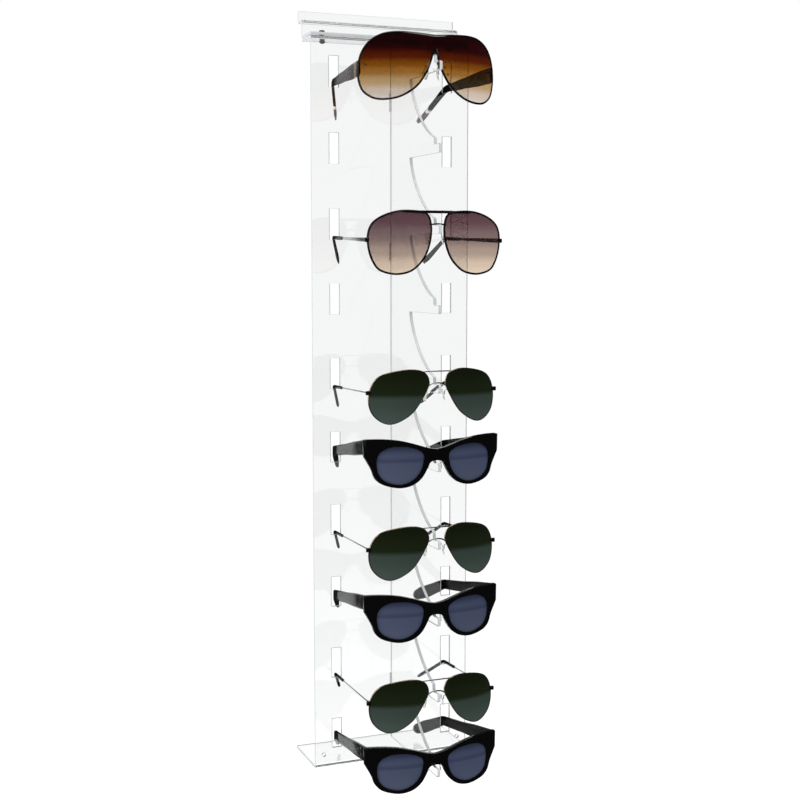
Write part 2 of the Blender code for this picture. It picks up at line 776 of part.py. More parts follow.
def build_pilot(shop, pair, name):
    style = "pilot"
    bridge = [(x * MM, z * MM) for x, z in [(-8.8, -3.2), (-4, -2.6), (0, -2.4), (4, -2.6), (8.8, -3.2)]]
    front = metal_front(
        style, PILOT_LENS, 8.7 * MM, 25 * MM, 1.1 * MM, bridge, (67.2 * MM, 2.6 * MM)
    )
    shop.part(f"{name}_frame", front, "black_metal", pair)
    lens_pair(shop, pair, name, style, PILOT_LENS, "smoke_lens", 1.65 * MM, 1.6 * MM)
    add_pads(shop, pair, name, style)
    for side, letter in ((-1, "l"), (1, "r")):
        place = hinge_place(style, side)
        path = fillet_path(temple_line(style, side, 0.9 * MM), 9 * MM, 5)
        stations = bar_stations(style, side, [(0, 3.4 * MM), (1, 2.2 * MM)], 0.9 * MM, 78 * MM)
        arm = ribbon_mesh("arm", stations, 1.2 * MM)
        index, path = split_path(path, 78.5 * MM)
        sleeve = wire_mesh("sleeve", path[index:], 1.6 * MM)
        shop.part(f"{name}_temple_{letter}", arm, "silver", pair, place)
        shop.part(f"{name}_tip_{letter}", sleeve, "black_plastic", pair, place)


def build_acetate(shop, pair, name):
    style = "acetate"
    half = smooth_line(ACETATE_TOP, 2) + smooth_line(ACETATE_BASE, 2)
    half = [p for i, p in enumerate(half) if i == 0 or (p - half[i - 1]).length > 0.1 * MM]
    outer = half + [Vector((-p.x, p.y)) for p in reversed(half[1:-1])]
    eye = smooth_loop(ACETATE_LENS, 2)
    front = plate_mesh(f"{style}_front", [outer, eye, mirrored(eye)], 4.6 * MM, style)
    # The end pieces run back to meet the temples.
    hinge_x, hinge_out, hinge_height = HINGE[style]
    pieces = [front]
    for side in (-1, 1):
        start = front_y(style, 66 * MM)
        back = -hinge_out - 0.3 * MM
        size = (5.4 * MM, back - start, 13.8 * MM)
        centre = (side * 66.2 * MM, (start + back) / 2, hinge_height)
        pieces.append(box_mesh("end_piece", size, centre))
    shop.part(f"{name}_frame", fused_mesh(f"{style}_front", pieces), "black_plastic", pair)
    right = offset_loop(smooth_loop(ACETATE_LENS, 2), -GAP)
    centre = Vector((35 * MM, -5 * MM))
    for loop, middle, letter in (
        (mirrored(right), Vector((-centre.x, centre.y)), "l"),
        (right, centre, "r"),
    ):
        lens = lens_mesh(f"{name}_lens_{letter}", loop, middle, 1.8 * MM, style, 1)
        shop.part(f"{name}_lens_{letter}", lens, "blue_lens", pair)
    heights = [
        (0, 14.5 * MM), (0.15, 14 * MM), (0.45, 11 * MM), (0.68, 10 * MM), (0.78, 11.5 * MM),
        (0.9, 13.5 * MM), (0.965, 11.5 * MM), (1, 5.5 * MM),
    ]
    for side, letter in ((-1, "l"), (1, "r")):
        stations = bar_stations(style, side, heights, 0.2 * MM)
        temple = ribbon_mesh("temple", stations, 3.8 * MM)
        shop.part(f"{name}_temple_{letter}", temple, "black_plastic", pair, hinge_place(style, side))


def build_shield(shop, pair, name):
    style = "shield"
    half = smooth_line(SHIELD_HALF, 2)
    outer = half + [Vector((-p.x, p.y)) for p in reversed(half[1:])]
    inner = offset_loop(outer, -1.3 * MM)
    pieces = [plate_mesh("rim", [outer, inner], 2.6 * MM, style)]
    hinge_x, hinge_out, hinge_height = HINGE[style]
    for side in (-1, 1):
        front = front_y(style, 67.4 * MM) - 0.9 * MM
        back = -hinge_out - 0.3 * MM
        size = (2.4 * MM, back - front, 11 * MM)
        centre = (side * 67.9 * MM, (front + back) / 2, hinge_height)
        pieces.append(box_mesh("end_piece", size, centre))
        pieces.append(
            wire_mesh("arm", pad_arm(style, SHIELD_HALF, side), 0.45 * MM, sides=1)
        )
    shop.part(f"{name}_frame", fused_mesh(f"{style}_front", pieces), "black_metal", pair)
    glass = offset_loop(outer, -1.65 * MM)
    lens = lens_mesh(f"{name}_lens", glass, Vector((0, 19 * MM)), 1.8 * MM, style, 3)
    shop.part(f"{name}_lens", lens, "brown_lens", pair)
    add_pads(shop, pair, name, style)
    heights = [
        (0, 15 * MM), (0.12, 14.5 * MM), (0.4, 10.5 * MM), (0.62, 7.5 * MM), (0.8, 6 * MM), (1, 6 * MM),
    ]
    for side, letter in ((-1, "l"), (1, "r")):
        stations = bar_stations(style, side, heights, 0.2 * MM)
        temple = ribbon_mesh("temple", stations, 2.6 * MM)
        shop.part(f"{name}_temple_{letter}", temple, "brown_plastic", pair, hinge_place(style, side))


BUILDERS = {
    "aviator": build_aviator,
    "pilot": build_pilot,
    "acetate": build_acetate,
    "shield": build_shield,
}


def main():
    clear_scene()
    shop = Workshop()
    datum = shop.empty("sheet_top_front", location=(0, -HOOK_OUT, -ORIGIN_RISE))
    build_sheet(shop, datum)
    build_fin(shop, datum)
    build_hook(shop, datum)
    build_fasteners(shop, datum)
    for row, style in LOADED_ROWS.items():
        pair = shop.empty(f"row_{row}", datum, (0, 0, row_height(row)))
        BUILDERS[style](shop, pair, f"p{row:02d}_{style}")
    bpy.context.view_layer.update()


main()
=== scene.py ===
"""Clear wall rack for ten pairs of glasses, with eight pairs of sunglasses on it.

Every piece is built in place, in metres: X to the right, Y towards the wall, Z up. A pair of
glasses is drawn from its own datum, the middle of its row's slots at the front of the sheet,
which comes from its temple hinges.
"""

import json
import math

import bmesh
import bpy
from bpy.props import FloatProperty, FloatVectorProperty, IntProperty, PointerProperty
from mathutils import Matrix, Vector
from mathutils.bvhtree import BVHTree


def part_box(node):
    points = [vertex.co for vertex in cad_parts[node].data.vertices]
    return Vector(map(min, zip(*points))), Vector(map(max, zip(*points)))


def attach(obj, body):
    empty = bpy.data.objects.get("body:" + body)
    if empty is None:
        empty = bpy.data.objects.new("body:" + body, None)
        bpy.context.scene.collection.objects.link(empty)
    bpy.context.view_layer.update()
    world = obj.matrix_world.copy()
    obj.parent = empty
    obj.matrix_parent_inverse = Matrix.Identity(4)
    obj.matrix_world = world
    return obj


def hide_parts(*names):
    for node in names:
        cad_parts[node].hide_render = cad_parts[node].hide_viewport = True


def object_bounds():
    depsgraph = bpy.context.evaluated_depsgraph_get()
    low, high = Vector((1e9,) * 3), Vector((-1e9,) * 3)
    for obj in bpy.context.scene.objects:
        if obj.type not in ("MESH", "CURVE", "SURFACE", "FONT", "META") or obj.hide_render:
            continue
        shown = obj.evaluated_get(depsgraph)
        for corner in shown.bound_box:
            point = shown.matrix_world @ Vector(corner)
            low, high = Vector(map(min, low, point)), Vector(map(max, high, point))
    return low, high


bl_info = {
    "name": "Glasses Organizer",
    "version": (1, 0, 0),
    "blender": (4, 5, 0),
    "location": "3D View > Sidebar > Organizer",
    "description": "Builds a clear wall rack and the eight pairs of sunglasses on it",
    "category": "Add Mesh",
}

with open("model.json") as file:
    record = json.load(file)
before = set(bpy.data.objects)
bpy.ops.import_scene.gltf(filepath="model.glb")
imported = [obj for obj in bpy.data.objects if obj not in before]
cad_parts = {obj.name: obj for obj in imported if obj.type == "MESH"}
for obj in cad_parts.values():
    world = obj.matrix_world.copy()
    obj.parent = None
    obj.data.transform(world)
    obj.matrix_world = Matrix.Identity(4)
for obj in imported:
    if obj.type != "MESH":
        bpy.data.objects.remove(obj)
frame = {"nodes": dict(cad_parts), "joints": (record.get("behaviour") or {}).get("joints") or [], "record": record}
CAD_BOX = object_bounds()
HINGES = {
    joint["child"]: Vector(joint["pos_m"]) for joint in frame["joints"] if joint["type"] == "hinge"
}
BODIES = frame["record"]["behaviour"]["bodies"]

MM = 0.001
MERGE = 0.01 * MM
SIDES = ((-1, "l"), (1, "r"))

SHEET = 3 * MM
SLOT_X = 61.3 * MM
BEND_BEHIND_SHEET = 2.5 * MM
TEMPLE_STEP = 2 * MM
RIM_INSET = 0.75 * MM
RACK_MIDDLE = Vector((0, -100 * MM, -370 * MM))

# Each style's sizes in mm: its curved front (radius, outward distance of its bridge), its
# hinges (outward distance, height), its temples (inset from the hinge, start behind it, height
# where they cross the sheet, round of the bend behind it) and their tips from there (inward,
# back, down), its nose pads (out from the middle, behind the bridge, height), where their arms
# leave the rim, and its lenses (thickness, inset from the outline).
STYLES = {
    "aviator": {
        "front": (157, 118), "hinge": (104, -10.5),
        "temple": (0, 0.9, -13.5, 9), "tip": (15, 31, 24),
        "pad": (9.2, 7, -14), "pad_arm": (12.4, -9), "lens": (1.6, 1.1), "lens_finish": "green_lens",
    },
    "pilot": {
        "front": (300, 118), "hinge": (109.4, -17.5),
        "temple": (0, 0.9, -13.5, 9), "tip": (14, 24, 25),
        "pad": (7.4, 7, -16), "pad_arm": (8.9, -11), "lens": (1.6, 1.1), "lens_finish": "smoke_lens",
    },
    "acetate": {
        "front": (205, 115.5), "hinge": (100, 12.5),
        "temple": (2.2, 0.2, -4.5, 16), "tip": (17, 38, 20),
        "pad": (6.6, 4.5, -4.5), "pad_arm": (11.6, -1.5), "lens": (1.8, 0.2), "lens_finish": "blue_lens",
    },
    "shield": {
        "front": (125, 110.2), "hinge": (88.5, -9),
        "temple": (1.2, 0.9, -11, 16), "tip": (15, 34, 31),
        "pad": (5.4, 7, -13), "pad_arm": (6.2, -8), "lens": (1.8, 1.15), "lens_finish": "brown_lens",
    },
}

# Outlines of the right-hand eye in mm, as points that a smooth loop passes through
AVIATOR_EYE = [
    (9.5, 0.8), (15.4, 8.3), (31.6, 10), (54.6, 4), (63.3, -11.5),
    (60.5, -30), (45.7, -39.3), (25.7, -29.5), (11.7, -8.5),
]
PILOT_EYE = [
    (7.7, -3), (10.1, 4.5), (16.2, 7.8), (33.5, 8.7), (46.5, 6.3), (57, 1.6), (63.9, -5),
    (66.5, -15.3), (65.2, -27.6), (61.3, -38), (55.2, -45), (42.2, -48.3), (29.2, -46.4),
    (20.5, -40.8), (13.6, -32.3), (9.2, -21), (7.5, -11),
]
ACETATE_EYE = [
    (13.2, -2), (12.8, 3.5), (15.2, 7.6), (22.4, 11.2), (32, 13.2), (45, 13), (54, 8.8),
    (57.8, 3), (58.4, -4), (56.7, -12.4), (51.3, -19), (41, -22.9), (31.4, -22.6),
    (22.4, -18.3), (16, -10.9),
]
# Half outlines from the middle of the top edge, outwards, round and back to the nose
ACETATE_TOP = [(0, 9.8), (9, 11.4), (22, 15.4), (37, 19.1), (52, 20.6), (66, 20.6), (69.6, 20)]
ACETATE_BASE = [
    (69.3, 4), (66, -2), (62.4, -9), (59.4, -17), (53, -22.6), (41, -26), (31.5, -26),
    (22.5, -23.2), (15.2, -17.5), (10.6, -10.5), (7.2, -3.6), (4, -1.5), (0, -1),
]
SHIELD_HALF = [
    (0, 20.4), (21.7, 22), (37.4, 22.4), (48.9, 20.4), (58.7, 14.4), (64.7, 5.6),
    (67.6, -5.1), (68, -16.4), (65.4, -27.4), (60.2, -33.4), (52.7, -36.6), (41.2, -36.3),
    (29.6, -32.5), (17.7, -24), (9.8, -13), (5.4, -3), (2.7, 6),
]

# Wires and bars across the fronts, in mm
AVIATOR_BROW = [(-21, 8.7), (-10, 9.2), (0, 9.3), (10, 9.2), (21, 8.7)]
AVIATOR_BRIDGE = [
    (-10.6, -6.6), (-8.6, -4.4), (-5, -2.5), (0, -1.9), (5, -2.5), (8.6, -4.4), (10.6, -6.6),
]
PILOT_BROW = [(-34, 8.1), (-24, 8.6), (-12, 8.7), (0, 8.7), (12, 8.7), (24, 8.6), (34, 8.1)]
PILOT_BRIDGE = [(-8.4, -3.4), (-4, -2.7), (0, -2.4), (4, -2.7), (8.4, -3.4)]
SHIELD_BRIDGE = [(-4.4, 7.2, 1.4), (0, 7.8, 1.4), (4.4, 7.2, 1.4)]

# How bars swell and taper: (fraction of the length, half width, half height), in mm apart from
# the wire sleeve's, which are shares of its radius
PILOT_BROW_TAPER = [
    (0, 0.9, 0.5), (0.25, 0.9, 1.3), (0.5, 0.9, 1.35), (0.75, 0.9, 1.3), (1, 0.9, 0.5),
]
WIRE_SLEEVE_TAPER = [
    (0, 0.62, 0.66), (0.03, 0.95, 1), (0.6, 0.9, 1.05), (0.95, 0.95, 1.1), (1, 0.5, 0.6),
]
PILOT_STRIP_TAPER = [(0, 0.75, 2.2), (0.12, 0.6, 2), (0.8, 0.6, 1.5), (1, 0.7, 1.2)]
PILOT_SLEEVE_TAPER = [
    (0, 0.9, 1.3), (0.06, 1.3, 1.8), (0.55, 1.25, 2), (0.9, 1.4, 2.7), (1, 0.7, 1.5),
]
ACETATE_TAPER = [
    (0, 1.9, 7.2), (0.15, 1.9, 7), (0.45, 1.8, 5.5), (0.68, 1.8, 5), (0.78, 1.9, 5.8),
    (0.9, 1.8, 6.6), (0.965, 1.5, 5.4), (0.99, 1.1, 3.4), (1, 0.6, 1.6),
]
SHIELD_TAPER = [
    (0, 1.3, 7.5), (0.12, 1.3, 7.2), (0.4, 1.25, 5.2), (0.62, 1.25, 3.7), (0.8, 1.3, 3),
    (0.96, 1.3, 3), (1, 0.8, 2),
]

# The shield's temples in bands of (where the band ends, its finish)
SHIELD_BANDS = [
    (0.035, "enamel"), (0.085, "rose"), (0.86, "umber"), (0.895, "ivory"), (1.01, "ash"),
]

# Colours down a lens, as (height fraction, colour). The tobacco and mauve fades are dyes; the bottle green is a
# dye whose lighter lower half is a painted reflection of the softbox; the ink blue darkens upwards, with a darker
# band near 0.62.
# Painted reflection: the lighter stops up to 0.44 stand for the softbox mirrored in the lower half.
BOTTLE_GREEN_AND_REFLECTION = [(0, "#39433F"), (0.44, "#2E3833"), (0.56, "#131A0B"), (1, "#0B1104")]
INK_BLUE = [
    (0, "#43495C"), (0.54, "#3D4358"), (0.62, "#32374C"), (0.74, "#394055"), (1, "#262B3E"),
]
MAUVE_TO_PEACH = [
    (0, "#E8D5BE"), (0.15, "#D8C3AE"), (0.35, "#AE998D"), (0.6, "#7F6A69"), (0.85, "#62474D"),
    (1, "#573E44"),
]
TOBACCO_FADE = [
    (0, "#DCD4CE"), (0.12, "#D2C1B1"), (0.27, "#BA9A6E"), (0.42, "#996829"), (0.53, "#7A4409"),
    (0.64, "#501802"), (0.78, "#270001"), (1, "#1A0001"),
]


def mm(x, y, z):
    """A place or a size given in millimetres."""
    return Vector((x * MM, y * MM, z * MM))


def linear(hex_colour):
    """An sRGB hex colour as linear red, green and blue."""
    channels = [int(hex_colour[i : i + 2], 16) / 255 for i in (1, 3, 5)]
    return tuple(c / 12.92 if c <= 0.04045 else ((c + 0.055) / 1.055) ** 2.4 for c in channels)


# ---------------------------------------------------------------- settings


def length_setting(name, description, default, low, high):
    """A length with its default and limits in millimetres."""
    return FloatProperty(
        name=name, description=description, default=default * MM, min=low * MM, max=high * MM,
        subtype="DISTANCE", unit="LENGTH",
    )


def colour_setting(name, description, hex_colour):
    return FloatVectorProperty(
        name=name, description=description, default=linear(hex_colour), size=3, min=0, max=1,
        subtype="COLOR",
    )


class RackSettings(bpy.types.PropertyGroup):
    edge_round: length_setting(
        "Edge round", "Radius on the cut edges of the clear sheet", 0.35, 0.1, 1
    )
    clear_tint: colour_setting("Sheet tint", "What the clear sheet lets through", "#F5F6F6")
    # Painted shade: the opaque grey of the sheet's cut edges
    edge_shade_colour: colour_setting(
        "Edge tint", "Colour of the sheet seen through its cut edges", "#C4C8CA"
    )
    screw_colour: colour_setting("Screws", "Colour of the blackened screws and nuts", "#0C0C0C")


class GlassesSettings(bpy.types.PropertyGroup):
    wire_radius: length_setting("Wire", "Radius of a wire temple", 0.75, 0.4, 1.5)
    sleeve_radius: length_setting(
        "Sleeve", "Radius of the sleeve on a wire temple's end", 1.6, 1, 2.5
    )
    lens_bulge: length_setting(
        "Lens bulge", "How far the middle of a lens stands before its rim", 1.8, 0, 4
    )
    lens_rings: IntProperty(
        name="Lens rings", description="Rings of faces from the middle of a lens to its rim",
        default=7, min=2, max=20,
    )
    gold: colour_setting("Gold wire", "Colour of the aviators' rims", "#9C8D79")
    silver: colour_setting("Silver wire", "Colour of the wire temples", "#B9B8B4")
    acetate: colour_setting("Acetate", "Colour of the thick frames", "#050506")
    rose_plate: colour_setting(
        "Temple plate", "Colour of the plates on the shield's temples", "#C9A88F"
    )


class StudioSettings(bpy.types.PropertyGroup):
    azimuth: FloatProperty(
        name="Azimuth", description="Camera's turn from straight in front, to the left",
        default=math.radians(-21.8), subtype="ANGLE", unit="ROTATION",
    )
    elevation: FloatProperty(
        name="Elevation", description="Camera's height above the level",
        default=math.radians(5.8), subtype="ANGLE", unit="ROTATION",
    )
    distance: FloatProperty(
        name="Distance", description="Camera's distance from what it looks at",
        default=1.355, min=0.3, subtype="DISTANCE", unit="LENGTH",
    )
    focal_length: FloatProperty(
        name="Lens", description="Focal length on a 36 mm frame", default=60.35, min=20, max=200,
    )
    floor_drop: FloatProperty(
        name="Floor drop", description="Floor below the foot of the rack",
        default=0.6, min=0, subtype="DISTANCE", unit="LENGTH",
    )


# ---------------------------------------------------------------- materials


def add_node(tree, kind, links=None, **settings):
    """A shader node with its settings, its socket values and its incoming links."""
    made = tree.nodes.new(kind)
    for key, value in settings.items():
        setattr(made, key, value)
    for socket, value in (links or {}).items():
        if isinstance(value, bpy.types.NodeSocket):
            tree.links.new(value, made.inputs[socket])
        else:
            made.inputs[socket].default_value = value
    return made


def new_material(name, **sockets):
    """A material and its Principled shader, which has these constant socket values."""
    material = bpy.data.materials.new(name)
    material.use_nodes = True
    shader = material.node_tree.nodes["Principled BSDF"]
    for socket, value in sockets.items():
        if hasattr(value, "__len__"):
            value = (*value[:3], 1.0)
        shader.inputs[socket.replace("_", " ")].default_value = value
    return material, shader


def noise(tree, size, detail, roughness=0.5):
    """Noise fixed to the object, with patches of a size in metres."""
    place = add_node(tree, "ShaderNodeTexCoord").outputs["Object"]
    made = add_node(
        tree, "ShaderNodeTexNoise",
        {"Vector": place, "Scale": 1 / size, "Detail": detail, "Roughness": roughness},
    )
    return made.outputs["Fac"]


def roughness_patches(shader, size, low, high):
    """Roughness that wanders between two values in patches of a size in metres."""
    tree = shader.id_data
    # Noise seldom leaves its middle third, which is spread over the whole range.
    spread = add_node(
        tree, "ShaderNodeMapRange",
        {"Value": noise(tree, size, 3.0, 0.6), "From Min": 0.35, "From Max": 0.65,
         "To Min": low, "To Max": high},
    )
    tree.links.new(spread.outputs["Result"], shader.inputs["Roughness"])


def fine_bump(shader, size, height):
    """Grain of a size in metres, pushed up by a height in metres."""
    tree = shader.id_data
    bump = add_node(
        tree, "ShaderNodeBump",
        {"Height": noise(tree, size, 2.0), "Distance": height, "Strength": 1.0},
    )
    tree.links.new(bump.outputs["Normal"], shader.inputs["Normal"])


def faint_colour(shader, size, low, high):
    """Base colour that drifts between two close colours over a size in metres."""
    tree = shader.id_data
    mix = add_node(tree, "ShaderNodeMix", {"Factor": noise(tree, size, 2.0)}, data_type="RGBA")
    mix.inputs["A"].default_value = (*low, 1)
    mix.inputs["B"].default_value = (*high, 1)
    tree.links.new(mix.outputs["Result"], shader.inputs["Base Color"])


def solid(name, patches, grain=None, **sockets):
    """A solid finish with roughness patches (mm, low, high) and a grain (mm, height in mm)."""
    material, shader = new_material(name, **sockets)
    patch_size, low, high = patches
    roughness_patches(shader, patch_size * MM, low, high)
    if grain:
        grain_size, height = grain
        fine_bump(shader, grain_size * MM, height * MM)
    return material


def cast_acrylic(name, tint):
    """Cast acrylic sheet: water-clear and glossy, a shade darker in broad patches."""
    material, shader = new_material(name, IOR=1.49, Transmission_Weight=1.0, Roughness=0.0)
    faint_colour(shader, 60 * MM, tuple(0.985 * c for c in tint), tint)
    return material


def edge_painted_shade(tint):
    """Saw-cut acrylic edge, flame polished: drawn opaque, with painted shade that makes it read greyer than the
    face, standing in for the light the clear edge bends away.
    """
    material, shader = new_material("edge_painted_shade", IOR=1.49, Roughness=0.25)
    faint_colour(shader, 4 * MM, tuple(0.85 * c for c in tint), tint)
    return material


def blackened_steel(colour):
    """Black-oxide steel: dark and satin, duller where the oxide is thick."""
    return solid("blackened_steel", (1.2, 0.3, 0.5), Base_Color=colour, Metallic=0.3)


def polished_wire(name, colour, low=0.14, high=0.26):
    """Drawn and plated nickel-silver wire: bright, with drawing marks softened by plating."""
    return solid(name, (2.5, low, high), (0.5, 0.001), Base_Color=colour, Metallic=1.0)


def black_enamel():
    """Stoved black enamel on metal: deep gloss with slight orange peel."""
    return solid(
        "black_enamel", (2, 0.18, 0.3), (0.8, 0.0015),
        Base_Color=linear("#0A0807"), Specular_IOR_Level=0.25,
    )


def tumbled_acetate(colour):
    """Cellulose acetate, milled and barrel polished: near-black, wet gloss, soft waviness."""
    return solid(
        "tumbled_acetate", (9, 0.08, 0.2), (5, 0.006),
        Base_Color=colour, IOR=1.48, Specular_IOR_Level=0.22,
    )


def acetate_painted_shade(colour):
    """The inner side of a temple: the same acetate, duller and barely glossy, a painted shade that keeps the inner
    sides dark where they would mirror the softbox.
    """
    return solid(
        "acetate_painted_shade", (7, 0.3, 0.42), Base_Color=colour, IOR=1.48, Specular_IOR_Level=0.05
    )


def moulded_nylon(name, hex_colour, low, high):
    """Injection-moulded nylon: satin, with a fine tool texture."""
    return solid(
        name, (4, low, high), (0.6, 0.0015),
        Base_Color=linear(hex_colour), IOR=1.53, Specular_IOR_Level=0.14,
    )


def soft_silicone():
    """Clear soft nose pad: milky where it is thick."""
    return solid(
        "soft_silicone", (2, 0.12, 0.28),
        Base_Color=linear("#EDEBE4"), IOR=1.42, Transmission_Weight=0.85,
    )


def faded_lens(name, stops, see_through):
    """Lens whose colour fades down it, from stops of (height fraction, hex colour); in the bottle green the stops
    hold a painted reflection as well as the dye.
    """
    material, shader = new_material(
        name, IOR=1.5, Transmission_Weight=1.0 if see_through else 0.0, Roughness=0.02
    )
    tree = shader.id_data
    place = add_node(tree, "ShaderNodeUVMap", uv_map="fade")
    split = add_node(tree, "ShaderNodeSeparateXYZ", {"Vector": place.outputs["UV"]})
    ramp = add_node(tree, "ShaderNodeValToRGB", {"Fac": split.outputs["Y"]})
    fade = ramp.color_ramp
    fade.interpolation = "EASE"
    for end, (position, hex_colour) in zip(fade.elements, (stops[0], stops[-1])):
        end.position = position
        end.color = (*linear(hex_colour), 1)
    for position, hex_colour in stops[1:-1]:
        fade.elements.new(position).color = (*linear(hex_colour), 1)
    tree.links.new(ramp.outputs["Color"], shader.inputs["Base Color"])
    return material


made_finishes = {}


def finish_for(name):
    """The named finish, made once from the scene's settings."""
    if name not in made_finishes:
        rack = bpy.context.scene.organizer_rack
        glasses = bpy.context.scene.organizer_glasses
        makers = {
            "clear": lambda: cast_acrylic("cast_acrylic", rack.clear_tint),
            # Painted light: the fin's acrylic is a whiter copy of the sheet's, so the fin reads paler
            "clear_fin": lambda: cast_acrylic("cast_acrylic_fin", linear("#FDFDFD")),
            # Painted shade: the cut edges are an opaque grey, not clear acrylic
            "edge": lambda: edge_painted_shade(rack.edge_shade_colour),
            "screw": lambda: blackened_steel(rack.screw_colour),
            "gold": lambda: polished_wire("pale_gold_plate", glasses.gold),
            "silver": lambda: polished_wire("nickel_silver_wire", glasses.silver),
            "rose": lambda: polished_wire("rose_gold_plate", glasses.rose_plate, 0.2, 0.32),
            "enamel": black_enamel,
            "acetate": lambda: tumbled_acetate(glasses.acetate),
            # Painted shade: a duller copy of the acetate for the inner sides of temples
            "inside": lambda: acetate_painted_shade(glasses.acetate),
            "sleeve": lambda: moulded_nylon("black_nylon_sleeve", "#0A0A0B", 0.16, 0.28),
            "umber": lambda: moulded_nylon("umber_nylon", "#1D1514", 0.22, 0.28),
            "ash": lambda: moulded_nylon("ash_grey_nylon", "#655D60", 0.3, 0.36),
            "ivory": lambda: moulded_nylon("ivory_nylon", "#E9E4E0", 0.3, 0.42),
            "pad": soft_silicone,
            # Dye, with a painted reflection of the softbox in its lower half
            "green_lens": lambda: faded_lens("bottle_green_tint", BOTTLE_GREEN_AND_REFLECTION, False),
            "blue_lens": lambda: faded_lens("ink_blue_tint", INK_BLUE, False),
            "smoke_lens": lambda: faded_lens("mauve_to_peach_tint", MAUVE_TO_PEACH, True),
            "brown_lens": lambda: faded_lens("tobacco_fade_tint", TOBACCO_FADE, True),
        }
        made_finishes[name] = makers[name]()
    return made_finishes[name]


# ---------------------------------------------------------------- mesh helpers


def smooth_points(points, per_span, closed):
    """Points on a smooth line through the given ones, in metres from (x, z) in mm."""
    anchors = [Vector(p) * MM for p in points]
    count = len(anchors)
    line = []
    for i in range(count if closed else count - 1):
        start, end = anchors[i], anchors[(i + 1) % count]
        if closed:
            before, after = anchors[i - 1], anchors[(i + 2) % count]
        else:
            before = anchors[i - 1] if i else 2 * start - end
            after = anchors[i + 2] if i + 2 < count else 2 * end - start
        for step in range(per_span):
            t = step / per_span
            line.append(
                0.5 * (2 * start + (end - before) * t
                       + (2 * before - 5 * start + 4 * end - after) * t**2
                       + (3 * start - 3 * end + after - before) * t**3)
            )
    return line if closed else line + [anchors[-1]]


def moved_out(loop, distance):
    """A closed loop moved along its own normals; positive is outwards."""
    area = sum(a.x * b.y - b.x * a.y for a, b in zip(loop, loop[1:] + loop[:1]))
    turn = math.copysign(distance, area)
    moved = []
    for i, point in enumerate(loop):
        along = (loop[(i + 1) % len(loop)] - loop[i - 1]).normalized()
        moved.append(point + Vector((along.y, -along.x)) * turn)
    return moved


def other_side(loop):
    return [Vector((-p.x, p.y)) for p in reversed(loop)]


def rounded_corners(corners, radius, steps=10):
    """The corners of a path in space, with each inner one rounded."""
    path = [corners[0]]
    for before, corner, after in zip(corners, corners[1:], corners[2:]):
        into, out = (corner - before).normalized(), (after - corner).normalized()
        half = into.angle(out) / 2
        start = corner - into * radius * math.tan(half)
        end = corner + out * radius * math.tan(half)
        centre = corner + (out - into).normalized() * radius / math.cos(half)
        first, last = (start - centre).normalized(), (end - centre).normalized()
        path += [centre + first.slerp(last, s / steps) * radius for s in range(steps + 1)]
    return path + [corners[-1]]


def evenly(path, spacing):
    """The path cut into even steps of about the spacing."""
    runs = [0.0]
    for a, b in zip(path, path[1:]):
        runs.append(runs[-1] + (b - a).length)
    count = max(2, round(runs[-1] / spacing))
    points, i = [], 0
    for step in range(count + 1):
        run = runs[-1] * step / count
        while i < len(path) - 2 and runs[i + 1] < run:
            i += 1
        points.append(path[i].lerp(path[i + 1], (run - runs[i]) / (runs[i + 1] - runs[i])))
    return points


def between(stops, part):
    """Values eased between stops of (fraction, value, value)."""
    for (p0, *v0), (p1, *v1) in zip(stops, stops[1:]):
        if part <= p1:
            t = (part - p0) / (p1 - p0)
            eased = t * t * (3 - 2 * t)
            return [a + (b - a) * eased for a, b in zip(v0, v1)]
    raise ValueError(f"no stop after {part}")


def tapered(path, stops, scale=MM):
    """The half width and half height of a bar at each point of its path."""
    last = len(path) - 1
    return [tuple(size * scale for size in between(stops, i / last)) for i in range(last + 1)]


def sweep(bm, path, sizes, sides=12, closed=False, up=Vector((0, 0, 1)), power=2.0):
    """A bar along a path: sizes are (half width, half height) at each point, or one pair."""
    if not isinstance(sizes, list):
        sizes = [sizes] * len(path)
    places = []
    for i, point in enumerate(path):
        if closed:
            along = path[(i + 1) % len(path)] - path[i - 1]
        else:
            along = path[min(i + 1, len(path) - 1)] - path[max(i - 1, 0)]
        along.normalize()
        across = along.cross(up).normalized()
        rise = across.cross(along)
        turn = Matrix((across, rise, along)).transposed().to_4x4()
        scale = Matrix.Diagonal((*sizes[i], 1.0, 1.0))
        places.append(Matrix.Translation(point) @ turn @ scale)
    ring = bmesh.ops.create_circle(bm, segments=sides, radius=1.0)["verts"]
    # A power above 2 squares the round section.
    for vertex in ring:
        for axis in (0, 1):
            size = abs(vertex.co[axis])
            vertex.co[axis] = math.copysign(size ** (2 / power), vertex.co[axis])
    first = list({e for v in ring for e in v.link_edges})
    bmesh.ops.transform(bm, matrix=places[0], verts=ring)
    edges = first
    for old, new in zip(places, places[1:]):
        grown = bmesh.ops.extrude_edge_only(bm, edges=edges)["geom"]
        verts = {v for v in grown if isinstance(v, bmesh.types.BMVert)}
        edges = [
            e for e in grown if isinstance(e, bmesh.types.BMEdge) and verts.issuperset(e.verts)
        ]
        bmesh.ops.transform(bm, matrix=new @ old.inverted(), verts=list(verts))
    if closed:
        bmesh.ops.bridge_loops(bm, edges=first + edges)
    else:
        bmesh.ops.edgeloop_fill(bm, edges=first)
        bmesh.ops.edgeloop_fill(bm, edges=edges)


def sharp_edges(bm, angle):
    """The edges where two faces meet at more than an angle in radians."""
    return [e for e in bm.edges if len(e.link_faces) == 2 and e.calc_face_angle() > angle]


def round_edges(bm, edges, radius, segments):
    return bmesh.ops.bevel(
        bm, geom=edges, offset=radius, offset_type="OFFSET", segments=segments,
        profile=0.5, affect="EDGES", clamp_overlap=True, material=-1,
    )


